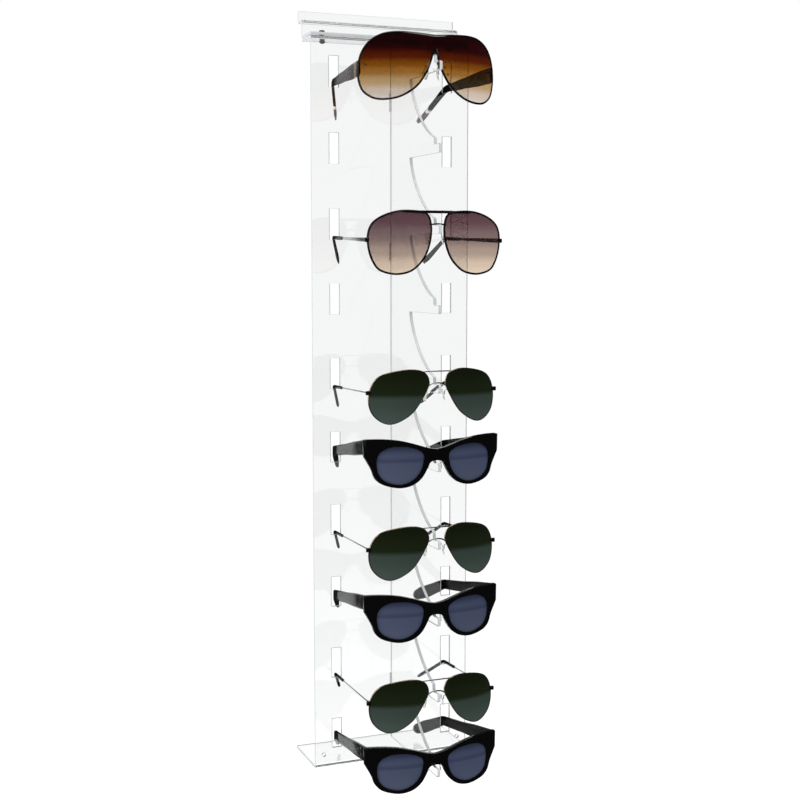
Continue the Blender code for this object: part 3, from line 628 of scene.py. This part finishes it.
def block(bm, centre, size, round_by, turn=0.0):
    """A box with rounded edges, turned about Z."""
    made = bmesh.ops.create_cube(bm, size=1.0)["verts"]
    bmesh.ops.scale(bm, verts=made, vec=size)
    edges = list({e for v in made for e in v.link_edges})
    rounded = round_edges(bm, edges, round_by, 3)["faces"]
    verts = list({v for f in rounded for v in f.verts} | {v for v in made if v.is_valid})
    bmesh.ops.rotate(bm, verts=verts, matrix=Matrix.Rotation(turn, 3, "Z"))
    bmesh.ops.translate(bm, verts=verts, vec=centre)


def thicken(bm, thickness):
    """Gives a layer of faces its thickness, backwards."""
    grown = bmesh.ops.extrude_face_region(bm, geom=bm.faces[:])["geom"]
    moved = [v for v in grown if isinstance(v, bmesh.types.BMVert)]
    bmesh.ops.translate(bm, verts=moved, vec=(0, thickness, 0))


def turned(bm, profile, steps, centre=(0, 0)):
    """The vertices of a shape turned about an upright axis, from (radius, height) points."""
    others = set(bm.verts)
    x, y = centre
    line = [bm.verts.new((x + radius, y, height)) for radius, height in profile]
    edges = [bm.edges.new(ends) for ends in zip(line, line[1:])]
    bmesh.ops.spin(
        bm, geom=line + edges, axis=(0, 0, 1), cent=(x, y, 0), steps=steps,
        angle=2 * math.pi, use_merge=True,
    )
    made = [v for v in bm.verts if v not in others]
    bmesh.ops.remove_doubles(bm, verts=made, dist=MERGE)
    return [v for v in made if v.is_valid]


def pin(bm, centre, radius, length, axis):
    """A short round pin with a domed end, pointing along an axis."""
    half = length / 2
    dome = 0.35 * radius
    profile = [
        (0, half + dome), (0.6 * radius, half + 0.7 * dome), (0.92 * radius, half),
        (radius, half - 0.2 * radius), (radius, -half), (0, -half),
    ]
    made = turned(bm, profile, 16)
    turn = Vector((0, 0, 1)).rotation_difference(Vector(axis)).to_matrix()
    bmesh.ops.rotate(bm, verts=made, matrix=turn)
    bmesh.ops.translate(bm, verts=made, vec=centre)


def painted(bm):
    return bm.faces.layers.int.get("painted") or bm.faces.layers.int.new("painted")


def paint(bm, slot):
    """Gives the faces made since the last call this material slot."""
    layer = painted(bm)
    for face in bm.faces:
        if not face[layer]:
            face[layer] = 1
            face.material_index = slot


def start():
    bm = bmesh.new()
    painted(bm)
    return bm


def add_object(name, data):
    made = bpy.data.objects.new(name, data)
    bpy.context.scene.collection.objects.link(made)
    return made


def add_mesh_object(bm, name):
    mesh = bpy.data.meshes.new(name)
    bm.to_mesh(mesh)
    bm.free()
    return add_object(name, mesh)


def finish(bm, name, finishes, body, replaces, sharp=35.0, flat=False):
    """The mesh as a finished piece that rides on a body and stands for CAD nodes."""
    bmesh.ops.recalc_face_normals(bm, faces=bm.faces[:])
    piece = add_mesh_object(bm, name)
    mesh = piece.data
    for finish_name in finishes:
        mesh.materials.append(finish_for(finish_name))
    if flat:
        mesh.shade_flat()
    else:
        mesh.shade_smooth()
        mesh.set_sharp_from_angle(angle=math.radians(sharp))
    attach(piece, body)
    if replaces:
        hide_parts(*replaces)


# ---------------------------------------------------------------- the rack


def rounded_copy(node, round_by):
    """A node's own shape with its triangles merged and its sharp edges rounded."""
    bm = bmesh.new()
    bm.from_mesh(frame["nodes"][node].data)
    bmesh.ops.remove_doubles(bm, verts=bm.verts[:], dist=MERGE)
    bmesh.ops.dissolve_limit(
        bm, angle_limit=math.radians(0.5), verts=bm.verts[:], edges=bm.edges[:]
    )
    round_edges(bm, sharp_edges(bm, 0.6), round_by, 2)
    return bm


def mark_cut_edges(bm):
    """Gives slot 1 to narrow faces whose far side is further off than the sheet is thick."""
    narrow = 3 * MM
    just_inside = 0.02 * MM
    bmesh.ops.recalc_face_normals(bm, faces=bm.faces[:])
    tree = BVHTree.FromBMesh(bm)
    for face in bm.faces:
        inwards = -face.normal
        depth = tree.ray_cast(face.calc_center_median() + inwards * just_inside, inwards)[3]
        is_deep = depth is None or depth > 1.25 * SHEET
        is_narrow = face.calc_area() / face.calc_perimeter() < narrow
        # Slot 1 is the cut edge's painted shade, an opaque grey.
        face.material_index = 1 if is_narrow and is_deep else 0


def build_sheet_piece(node, name, round_by, clear="clear"):
    bm = rounded_copy(node, round_by)
    mark_cut_edges(bm)
    finish(bm, name, [clear, "edge"], "rack", (node,), flat=True)


def screw_profile(head, bottom, seat):
    """Half of a socket screw's section: its socket, its head and its threaded shank."""
    shank = 1.5 * MM
    pitch = 0.5 * MM
    top = seat + 3 * MM
    socket_floor = seat + 1.4 * MM
    profile = [
        (0, socket_floor), (1.25 * MM, socket_floor), (1.3 * MM, top - 0.1 * MM),
        (1.45 * MM, top), (head - 0.5 * MM, top), (head - 0.15 * MM, top - 0.15 * MM),
        (head, top - 0.5 * MM), (head, seat + 0.2 * MM), (head - 0.15 * MM, seat), (shank, seat),
    ]
    # The thread starts below the two sheets.
    height = seat - 2 * SHEET
    profile.append((shank, height))
    while height > bottom + 0.6 * MM:
        profile += [(0.82 * shank, height - 0.22 * MM), (shank, height - pitch)]
        height -= pitch
    return profile + [(0.8 * shank, bottom), (0, bottom)]


def build_screw(letter):
    """A socket screw and its nut."""
    low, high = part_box(f"screw_{letter}")
    head = (high.x - low.x) / 2
    centre = ((low.x + high.x) / 2, (low.y + high.y) / 2)
    bm = start()
    turned(bm, screw_profile(head, low.z, high.z - 2.2 * MM), 32, centre)
    finish(bm, f"socket_screw_{letter}", ["screw"], "rack", (f"screw_{letter}",))
    bm = rounded_copy(f"nut_{letter}", 0.25 * MM)
    finish(bm, f"hex_nut_{letter}", ["screw"], "rack", (f"nut_{letter}",))


# ---------------------------------------------------------------- the glasses


class Pair:
    """One pair of glasses: its names, its datum and its style's sizes."""

    def __init__(self, body):
        self.body = body
        frame_node = next(node for node in BODIES[body] if node.endswith("_frame"))
        self.name = frame_node.removesuffix("_frame")
        self.style = self.name.split("_")[1]
        self.radius, self.bridge_out = self.lengths("front")
        self.hinge_out, self.hinge_height = self.lengths("hinge")
        hinge = HINGES[f"{body}_temple_r"]
        self.hinge_x = hinge.x
        self.datum = Vector((0, hinge.y + self.hinge_out, hinge.z - self.hinge_height))

    def lengths(self, key):
        """The style's sizes under a key, in metres."""
        return [size * MM for size in STYLES[self.style][key]]

    def front(self, x, z, ahead=0.0):
        """A place on the curved front, in the rack's frame."""
        y = -self.bridge_out + self.radius - math.sqrt(self.radius**2 - x**2) - ahead
        return self.datum + Vector((x, y, z))

    def hinge(self, side):
        return self.datum + Vector((side * self.hinge_x, -self.hinge_out, self.hinge_height))

    def pad_centre(self, side):
        reach, behind, height = self.lengths("pad")
        return self.datum + Vector((side * reach, behind - self.bridge_out, height))

    def temple_path(self, side):
        """The middle line of a temple, from behind its hinge to its tip."""
        inset, start_back, crossing, fillet = self.lengths("temple")
        inward, back, down = self.lengths("tip")
        across = self.hinge_x - SLOT_X
        drop = crossing - self.hinge_height
        bend_back = self.hinge_out + SHEET + BEND_BEHIND_SHEET
        part = start_back / bend_back
        shift = inset + (across - inset) * part
        corners = [
            self.hinge(side) + Vector((-side * shift, start_back, drop * part)),
            self.hinge(side) + Vector((-side * across, bend_back, drop)),
            self.hinge(side) + Vector((-side * (across + inward), bend_back + back, drop - down)),
        ]
        return evenly(rounded_corners(corners, fillet), TEMPLE_STEP)


def pairs_of(style):
    bodies = [body for body in sorted(BODIES) if f"{body}_temple_r" in BODIES]
    return [pair for pair in map(Pair, bodies) if pair.style == style]


def build_lens(pair, loop, centre, node):
    """A curved lens: spokes and rings inside an outline, bulged and given its thickness."""
    settings = bpy.context.scene.organizer_glasses
    thickness, _ = pair.lengths("lens")
    bm = start()
    count = len(loop)
    bmesh.ops.create_circle(bm, cap_ends=True, cap_tris=True, segments=count, radius=1.0)
    # Spokes are the edges with an end at the middle of the unit circle.
    spokes = [e for e in bm.edges if min(v.co.length for v in e.verts) < 0.5]
    bmesh.ops.subdivide_edges(bm, edges=spokes, cuts=settings.lens_rings)
    for vertex in bm.verts:
        turn = round(math.atan2(vertex.co.x, vertex.co.y) / (2 * math.pi) * count) % count
        out = vertex.co.length
        place = centre + (loop[turn] - centre) * out
        vertex.co = pair.front(
            place.x, place.y, thickness / 2 + settings.lens_bulge * (1 - out**2)
        )
    thicken(bm, thickness)
    map_fade(bm, pair, min(p.y for p in loop), max(p.y for p in loop))
    lens_finish = STYLES[pair.style]["lens_finish"]
    finish(bm, f"{node}_dyed", [lens_finish], pair.body, (node,), sharp=50)


def map_fade(bm, pair, low, high):
    """UVs that climb the lens from its lowest point to its highest."""
    front_width = 140 * MM
    fade = bm.loops.layers.uv.new("fade")
    for corner in (corner for face in bm.faces for corner in face.loops):
        x, _, z = corner.vert.co - pair.datum
        corner[fade].uv = (x / front_width + 0.5, (z - low) / (high - low))


def build_lens_pair(pair, eye):
    _, inset = pair.lengths("lens")
    right = moved_out(smooth_points(eye, 8, True), -inset)
    xs = [p.x for p in right]
    zs = [p.y for p in right]
    middle = Vector((min(xs) + max(xs), min(zs) + max(zs))) / 2
    build_lens(pair, other_side(right), Vector((-middle.x, middle.y)), f"{pair.name}_lens_l")
    build_lens(pair, right, middle, f"{pair.name}_lens_r")


def add_rim(bm, pair, outline, radial, depth):
    """A rim just inside an outline, with its half width and half depth in mm."""
    path = [pair.front(p.x, p.y) for p in moved_out(outline, -RIM_INSET)]
    sweep(bm, path, (radial * MM, depth * MM), closed=True, up=Vector((0, 1, 0)))


def add_eye_rims(bm, pair, eye, radial, depth):
    right = smooth_points(eye, 10, True)
    for outline in (right, other_side(right)):
        add_rim(bm, pair, outline, radial, depth)


def add_wire(bm, pair, points, radius):
    """A wire across the front through points of (x, z) or (x, z, behind) in mm."""
    line = smooth_points([(*p, 0)[:3] for p in points], 6, False)
    sweep(bm, [pair.front(p.x, p.y, -p.z) for p in line], (radius * MM, radius * MM))


def add_end_pieces(bm, pair, middle_x, width, height, front_x, ahead, gap, round_by):
    """Blocks from the ends of the curved front back to just before the hinges, in mm."""
    for side, _ in SIDES:
        hinge = pair.hinge(side)
        front_y = pair.front(front_x * MM, 0, ahead * MM).y
        back_y = hinge.y - gap * MM
        centre = Vector((side * middle_x * MM, (front_y + back_y) / 2, hinge.z))
        block(bm, centre, (width * MM, back_y - front_y, height * MM), round_by * MM)


def add_pad_arms(bm, pair):
    """The looped arms that carry the nose pads, from the rims to the backs of the pads."""
    wire = 0.42 * MM
    x, z = pair.lengths("pad_arm")
    for side, _ in SIDES:
        rim = pair.front(side * x, z)
        pad = pair.pad_centre(side)
        corners = [
            rim,
            rim + mm(0, 3.4, 0.6),
            pad + mm(side * 2.4, 2.4, 3.4),
            pad + mm(side * 1.9, 0.8, 0),
        ]
        path = evenly(rounded_corners(corners, 1 * MM, 5), 0.8 * MM)
        sweep(bm, path, (wire, wire), 8, up=Vector((1, 0.2, 0)))


def build_pads(pair):
    """Drop-shaped soft pads, closer together at the top and at the front."""
    narrowing = 0.22
    lean = 0.22
    toe_in = 0.35
    for side, letter in SIDES:
        bm = start()
        made = bmesh.ops.create_uvsphere(bm, u_segments=20, v_segments=12, radius=1.0)["verts"]
        for vertex in made:
            vertex.co.y *= 1.0 - narrowing * vertex.co.z
        bmesh.ops.scale(bm, verts=made, vec=mm(0.9, 2.5, 5.8))
        bmesh.ops.rotate(bm, verts=made, matrix=Matrix.Rotation(-side * lean, 3, "Y"))
        bmesh.ops.rotate(bm, verts=made, matrix=Matrix.Rotation(-side * toe_in, 3, "Z"))
        bmesh.ops.translate(bm, verts=made, vec=pair.pad_centre(side))
        node = f"{pair.name}_pad_{letter}"
        nodes = (node,) if node in frame["nodes"] else ()
        finish(bm, f"{node}_soft", ["pad"], pair.body, nodes, sharp=80)


def finish_front(bm, pair, ending, finishes, sharp=35.0):
    name = f"{pair.name}_{ending}"
    finish(bm, name, finishes, pair.body, (f"{pair.name}_frame",), sharp)


def finish_temple(bm, pair, letter, ending, finishes, part="temple", sharp=35.0):
    node = f"{pair.name}_{part}_{letter}"
    body = f"{pair.body}_temple_{letter}"
    finish(bm, f"{node}_{ending}", finishes, body, (node,), sharp)


def paint_inner_side(bm, side, slot, facing):
    """Gives the slot to the faces that look towards the other temple."""
    bmesh.ops.recalc_face_normals(bm, faces=bm.faces[:])
    for face in bm.faces:
        if face.normal.x * side < -facing:
            face.material_index = slot


def build_aviator(pair):
    """Thin wire rims, a straight brow wire, a low arched bridge and black hinge blocks."""
    bm = start()
    add_eye_rims(bm, pair, AVIATOR_EYE, 0.72, 1)
    paint(bm, 0)
    add_wire(bm, pair, AVIATOR_BROW, 0.6)
    add_wire(bm, pair, AVIATOR_BRIDGE, 0.7)
    add_pad_arms(bm, pair)
    for side, _ in SIDES:
        # The split joint that clamps the lens, beside the hinge
        joint = pair.front(side * 63 * MM, pair.hinge_height, -0.6 * MM)
        block(bm, joint, mm(1.5, 2.4, 3.4), 0.3 * MM, side * 0.4)
    paint(bm, 1)
    for side, _ in SIDES:
        block(bm, pair.hinge(side) + mm(side * 1.3, -1.2, 0), mm(4.6, 2, 4), 0.6 * MM)
    paint(bm, 2)
    finish_front(bm, pair, "wire_front", ["gold", "silver", "sleeve"])
    build_lens_pair(pair, AVIATOR_EYE)
    build_pads(pair)
    for side, letter in SIDES:
        build_wire_temple(pair, side, letter)


def build_wire_temple(pair, side, letter):
    """A wire temple with a hinge leaf at its front and a soft sleeve over its end."""
    settings = bpy.context.scene.organizer_glasses
    path = pair.temple_path(side)
    sleeve_start = 80 * MM
    cut = round(sleeve_start / (path[1] - path[0]).length)
    bm = start()
    sweep(bm, path[: cut + 3], (0.85 * settings.wire_radius, settings.wire_radius))
    paint(bm, 0)
    sleeve = path[cut:]
    sweep(bm, sleeve, tapered(sleeve, WIRE_SLEEVE_TAPER, settings.sleeve_radius), 16)
    block(bm, path[0] + mm(0, 2.2, 0), mm(1.9, 4.2, 2.6), 0.45 * MM)
    paint(bm, 1)
    pin(bm, path[0] + mm(0, 1.2, 1.3), 0.55 * MM, 0.5 * MM, (0, 0, 1))
    paint(bm, 0)
    finish_temple(bm, pair, letter, "wire", ["silver", "sleeve"])


def build_pilot(pair):
    """Enamelled rims under a heavy straight brow bar, with broad end lugs."""
    bm = start()
    add_eye_rims(bm, pair, PILOT_EYE, 1, 1.2)
    brow = [pair.front(p.x, p.y) for p in smooth_points(PILOT_BROW, 6, False)]
    sweep(bm, brow, tapered(brow, PILOT_BROW_TAPER), 14, power=3.0)
    add_wire(bm, pair, PILOT_BRIDGE, 0.75)
    add_end_pieces(
        bm, pair, middle_x=68.2, width=4.4, height=4, front_x=66.6, ahead=1, gap=0.2, round_by=0.7
    )
    paint(bm, 0)
    add_pad_arms(bm, pair)
    for side, _ in SIDES:
        pin(bm, pair.hinge(side) + mm(-side * 0.4, -1.6, 1.7), 0.6 * MM, 0.4 * MM, (0, 0, 1))
    paint(bm, 1)
    finish_front(bm, pair, "enamel_front", ["enamel", "silver"])
    build_lens_pair(pair, PILOT_EYE)
    build_pads(pair)
    for side, letter in SIDES:
        build_pilot_temple(pair, side, letter)


def build_pilot_temple(pair, side, letter):
    """A strip, bright outside and enamelled black inside, and the sleeve over its end."""
    path = pair.temple_path(side)
    sleeve_start = 78 * MM
    cut = round(sleeve_start / (path[1] - path[0]).length)
    strip = path[: cut + 2]
    bm = start()
    sweep(bm, strip, tapered(strip, PILOT_STRIP_TAPER), 16, power=4.0)
    paint(bm, 0)
    paint_inner_side(bm, side, 1, 0.2)
    block(bm, strip[0] + mm(0, 1.3, 0), mm(1.9, 2.4, 3), 0.4 * MM)
    paint(bm, 1)
    finish_temple(bm, pair, letter, "strip", ["silver", "enamel"])
    sleeve = path[cut:]
    bm = start()
    sweep(bm, sleeve, tapered(sleeve, PILOT_SLEEVE_TAPER), 16, power=2.6)
    finish_temple(bm, pair, letter, "sleeve", ["sleeve"], part="tip")


def add_plate(bm, pair, loops, thickness, round_by):
    """A plate inside the first outline and outside the others, rounded and curved."""
    strip = 4 * MM
    edges = []
    for loop in loops:
        verts = [bm.verts.new((p.x, 0, p.y)) for p in loop]
        edges += [bm.edges.new(ends) for ends in zip(verts, verts[1:] + verts[:1])]
    bmesh.ops.triangle_fill(bm, edges=edges, use_beauty=True, normal=(0, -1, 0))
    inner = [e for e in bm.edges if not e.is_boundary]
    bmesh.ops.dissolve_limit(bm, angle_limit=math.radians(1), verts=[], edges=inner)
    cut = min(v.co.x for v in bm.verts) + strip
    high = max(v.co.x for v in bm.verts)
    # Upright cuts let the flat plate follow the curve of the front.
    while cut < high:
        bmesh.ops.bisect_plane(
            bm, geom=bm.verts[:] + bm.edges[:] + bm.faces[:], plane_co=(cut, 0, 0),
            plane_no=(1, 0, 0), dist=0.000001,
        )
        cut += strip
    bmesh.ops.translate(bm, verts=bm.verts[:], vec=(0, -thickness / 2, 0))
    thicken(bm, thickness)
    bmesh.ops.recalc_face_normals(bm, faces=bm.faces[:])
    round_edges(bm, sharp_edges(bm, 1.2), round_by, 3)
    for vertex in bm.verts:
        x, y, z = vertex.co
        vertex.co = pair.front(x, z, -y)


def build_acetate(pair):
    """A thick milled front, glossy and near black, with broad temples that end in paddles."""
    half = smooth_points(ACETATE_TOP, 5, False) + smooth_points(ACETATE_BASE, 5, False)
    outer = half + other_side(half[1:-1])
    eye = smooth_points(ACETATE_EYE, 6, True)
    bm = start()
    add_plate(bm, pair, [outer, eye, other_side(eye)], 4.6 * MM, 0.7 * MM)
    add_end_pieces(
        bm, pair, middle_x=66.3, width=5.2, height=14, front_x=66, ahead=1.9, gap=0.3, round_by=0.7
    )
    paint(bm, 0)
    add_pad_arms(bm, pair)
    paint(bm, 1)
    finish_front(bm, pair, "milled_front", ["acetate", "silver"], sharp=40)
    build_pads(pair)
    build_lens_pair(pair, ACETATE_EYE)
    for side, letter in SIDES:
        build_acetate_temple(pair, side, letter)


def build_acetate_temple(pair, side, letter):
    """A broad temple with two rivet heads and a duller inner side of painted shade."""
    path = pair.temple_path(side)
    bm = start()
    sweep(bm, path, tapered(path, ACETATE_TAPER), 24, power=4.5)
    paint(bm, 0)
    # The inner side gets the duller copy of the acetate: painted shade.
    paint_inner_side(bm, side, 2, 0.4)
    for rise in (3.2, -3.2):
        pin(bm, path[0] + mm(side * 1.75, 9, rise), 0.55 * MM, 0.4 * MM, (side, 0, 0))
    paint(bm, 1)
    finishes = ["acetate", "silver", "inside"]
    finish_temple(bm, pair, letter, "paddle", finishes, sharp=50)


def build_shield(pair):
    """One wrapped lens in a thin enamelled rim, with broad plated and banded temples."""
    half = smooth_points(SHIELD_HALF, 7, False)
    outer = half + other_side(half[1:])
    bm = start()
    add_rim(bm, pair, outer, 1, 1.3)
    add_end_pieces(
        bm, pair, middle_x=67.9, width=2.3, height=11.5, front_x=67.4, ahead=0.9, gap=0.3,
        round_by=0.6,
    )
    for side, _ in SIDES:
        # Lens screws: one beside the hinge and one on each pad mount
        by_hinge = pair.front(side * 63 * MM, -6 * MM, 1 * MM)
        pin(bm, by_hinge, 1 * MM, 0.6 * MM, (side * 0.6, -0.8, 0))
        for x, z in ((9.6, -7.5), (13, -13.5)):
            by_pad = pair.front(side * x * MM, z * MM, 1.6 * MM)
            pin(bm, by_pad, 0.85 * MM, 0.5 * MM, (side * 0.1, -1, 0))
    add_wire(bm, pair, SHIELD_BRIDGE, 0.6)
    paint(bm, 0)
    add_pad_arms(bm, pair)
    paint(bm, 1)
    finish_front(bm, pair, "wrap_rim", ["enamel", "silver"])
    _, inset = pair.lengths("lens")
    build_lens(pair, moved_out(outer, -inset), Vector((0, 19 * MM)), f"{pair.name}_lens")
    build_pads(pair)
    for side, letter in SIDES:
        build_shield_temple(pair, side, letter)


def build_shield_temple(pair, side, letter):
    """A broad temple in bands, with a duller near-black inner side of painted shade on its plate and its long
    middle.
    """
    finishes = ["umber", "enamel", "rose", "ivory", "ash", "inside"]
    path = pair.temple_path(side)
    bm = start()
    sweep(bm, path, tapered(path, SHIELD_TAPER), 24, power=4.0)
    bmesh.ops.recalc_face_normals(bm, faces=bm.faces[:])
    for face in bm.faces:
        middle = face.calc_center_median()
        nearest = min(range(len(path)), key=lambda i: (path[i] - middle).length)
        part = nearest / (len(path) - 1)
        band = next(name for end, name in SHIELD_BANDS if part < end)
        # Painted shade: the inner side of the plate and the long middle takes the duller near-black acetate.
        if band in ("umber", "rose") and face.normal.x * side < -0.4:
            band = "inside"
        face.material_index = finishes.index(band)
    finish_temple(bm, pair, letter, "banded", finishes, sharp=50)


# ---------------------------------------------------------------- the studio


def build_world():
    """White surroundings, with a dim room in the reflections so dark gloss stays dark."""
    world = bpy.data.worlds.new("studio")
    bpy.context.scene.world = world
    world.use_nodes = True
    tree = world.node_tree
    tree.nodes.clear()
    path = add_node(tree, "ShaderNodeLightPath")
    white = add_node(tree, "ShaderNodeBackground", {"Color": (1, 1, 1, 1), "Strength": 1.0})
    dim = add_node(tree, "ShaderNodeBackground", {"Color": (1, 1, 1, 1), "Strength": 0.05})
    # Only a reflection in the frames and lenses sees the dim room: light that has passed
    # through something, or that the clear sheets mirror, stays white.
    blurred = add_node(
        tree, "ShaderNodeMath",
        {0: path.outputs["Is Glossy Ray"], 1: path.outputs["Is Singular Ray"]},
        operation="SUBTRACT", use_clamp=True,
    )
    reflected = add_node(
        tree, "ShaderNodeMath",
        {0: blurred.outputs[0], 1: path.outputs["Is Transmission Ray"]},
        operation="SUBTRACT", use_clamp=True,
    )
    mix = add_node(
        tree, "ShaderNodeMixShader",
        {0: reflected.outputs[0], 1: white.outputs[0], 2: dim.outputs[0]},
    )
    add_node(tree, "ShaderNodeOutputWorld", {"Surface": mix.outputs[0]})


def add_softbox(name, place, size, power):
    light = bpy.data.lights.new(name, "AREA")
    light.shape = "RECTANGLE"
    light.size, light.size_y = size
    light.energy = power
    softbox = add_object(name, light)
    softbox.location = place
    softbox.rotation_euler = (RACK_MIDDLE - Vector(place)).to_track_quat("-Z", "Y").to_euler()
    softbox.visible_camera = False
    softbox.visible_transmission = False


def build_floor(drop):
    low, _ = CAD_BOX
    bm = bmesh.new()
    bmesh.ops.create_grid(bm, x_segments=1, y_segments=1, size=12.0)
    bmesh.ops.translate(bm, verts=bm.verts[:], vec=(0, 0, low[2] - drop))
    floor = add_mesh_object(bm, "studio_floor")
    # Matt white studio paper: fine tooth, no sheen.
    paper = solid(
        "studio_paper", (200, 0.85, 0.95), Base_Color=linear("#FFFFFF"), Specular_IOR_Level=0.0
    )
    floor.data.materials.append(paper)
    # Gloss on the frames is shaped by the softboxes alone, not by the white floor.
    floor.visible_glossy = False


def build_camera(settings):
    aim = mm(-2.5, -60, -370)
    turn, rise = settings.azimuth, settings.elevation
    back = Vector(
        (math.sin(turn) * math.cos(rise), -math.cos(turn) * math.cos(rise), math.sin(rise))
    )
    camera_data = bpy.data.cameras.new("camera")
    camera_data.lens = settings.focal_length
    camera_data.sensor_width = 36
    camera_data.clip_start = 0.01
    camera = add_object("camera", camera_data)
    camera.location = aim + back * settings.distance
    camera.rotation_euler = (-back).to_track_quat("-Z", "Y").to_euler()
    bpy.context.scene.camera = camera


# ---------------------------------------------------------------- operators


class ORGANIZER_OT_rack(bpy.types.Operator):
    """Build the folded sheet, the nose fin and the hook strip"""

    bl_idname = "organizer.rack"
    bl_label = "Clear rack"

    def execute(self, context):
        round_by = context.scene.organizer_rack.edge_round
        build_sheet_piece("back_panel", "folded_back_sheet", round_by)
        # The fin takes the whiter copy of the acrylic: painted light.
        build_sheet_piece("nose_fin", "saw_tooth_nose_fin", round_by, "clear_fin")
        build_sheet_piece("header_hook", "folded_hook_strip", round_by)
        return {"FINISHED"}


class ORGANIZER_OT_fasteners(bpy.types.Operator):
    """Build the screws and nuts that hold the hook strip"""

    bl_idname = "organizer.fasteners"
    bl_label = "Screws and nuts"

    def execute(self, context):
        for _, letter in SIDES:
            build_screw(letter)
        return {"FINISHED"}


class ORGANIZER_OT_aviators(bpy.types.Operator):
    """Build the wire-rimmed aviators"""

    bl_idname = "organizer.aviators"
    bl_label = "Aviators"

    def execute(self, context):
        for pair in pairs_of("aviator"):
            build_aviator(pair)
        return {"FINISHED"}


class ORGANIZER_OT_pilot(bpy.types.Operator):
    """Build the square pilot glasses"""

    bl_idname = "organizer.pilot"
    bl_label = "Pilot glasses"

    def execute(self, context):
        for pair in pairs_of("pilot"):
            build_pilot(pair)
        return {"FINISHED"}


class ORGANIZER_OT_acetates(bpy.types.Operator):
    """Build the thick black frames"""

    bl_idname = "organizer.acetates"
    bl_label = "Thick frames"

    def execute(self, context):
        for pair in pairs_of("acetate"):
            build_acetate(pair)
        return {"FINISHED"}


class ORGANIZER_OT_shield(bpy.types.Operator):
    """Build the one-lens shield glasses"""

    bl_idname = "organizer.shield"
    bl_label = "Shield glasses"

    def execute(self, context):
        for pair in pairs_of("shield"):
            build_shield(pair)
        return {"FINISHED"}


class ORGANIZER_OT_studio(bpy.types.Operator):
    """Set the white surroundings, the softboxes, the floor and the camera"""

    bl_idname = "organizer.studio"
    bl_label = "Studio"

    def execute(self, context):
        settings = context.scene.organizer_studio
        context.scene.view_settings.view_transform = "Standard"
        build_world()
        add_softbox("left_softbox", (-1.5, -0.2, 0.1), (0.9, 1.4), 18)
        add_softbox("top_softbox", (0.0, -0.3, 1.2), (1.2, 0.8), 12)
        build_floor(settings.floor_drop)
        build_camera(settings)
        return {"FINISHED"}


OPERATORS = (
    ORGANIZER_OT_rack,
    ORGANIZER_OT_fasteners,
    ORGANIZER_OT_aviators,
    ORGANIZER_OT_pilot,
    ORGANIZER_OT_acetates,
    ORGANIZER_OT_shield,
    ORGANIZER_OT_studio,
)


class ORGANIZER_PT_sidebar(bpy.types.Panel):
    """Lists the rack's settings and build steps"""

    bl_label = "Glasses Organizer"
    bl_idname = "ORGANIZER_PT_sidebar"
    bl_space_type = "VIEW_3D"
    bl_region_type = "UI"
    bl_category = "Organizer"

    def draw(self, context):
        layout = self.layout
        scene = context.scene
        for group in (scene.organizer_rack, scene.organizer_glasses, scene.organizer_studio):
            box = layout.box()
            for key in group.__annotations__:
                box.prop(group, key)
        for operator in OPERATORS:
            layout.operator(operator.bl_idname)


GROUPS = {
    "organizer_rack": RackSettings,
    "organizer_glasses": GlassesSettings,
    "organizer_studio": StudioSettings,
}


def register():
    for cls in (*GROUPS.values(), *OPERATORS, ORGANIZER_PT_sidebar):
        bpy.utils.register_class(cls)
    for name, group in GROUPS.items():
        setattr(bpy.types.Scene, name, PointerProperty(type=group))


def unregister():
    for name in GROUPS:
        delattr(bpy.types.Scene, name)
    for cls in reversed((*GROUPS.values(), *OPERATORS, ORGANIZER_PT_sidebar)):
        bpy.utils.unregister_class(cls)


def main():
    register()
    bpy.ops.organizer.studio()
    bpy.ops.organizer.rack()
    bpy.ops.organizer.fasteners()
    bpy.ops.organizer.aviators()
    bpy.ops.organizer.pilot()
    bpy.ops.organizer.acetates()
    bpy.ops.organizer.shield()


if __name__ == "__main__":
    main()
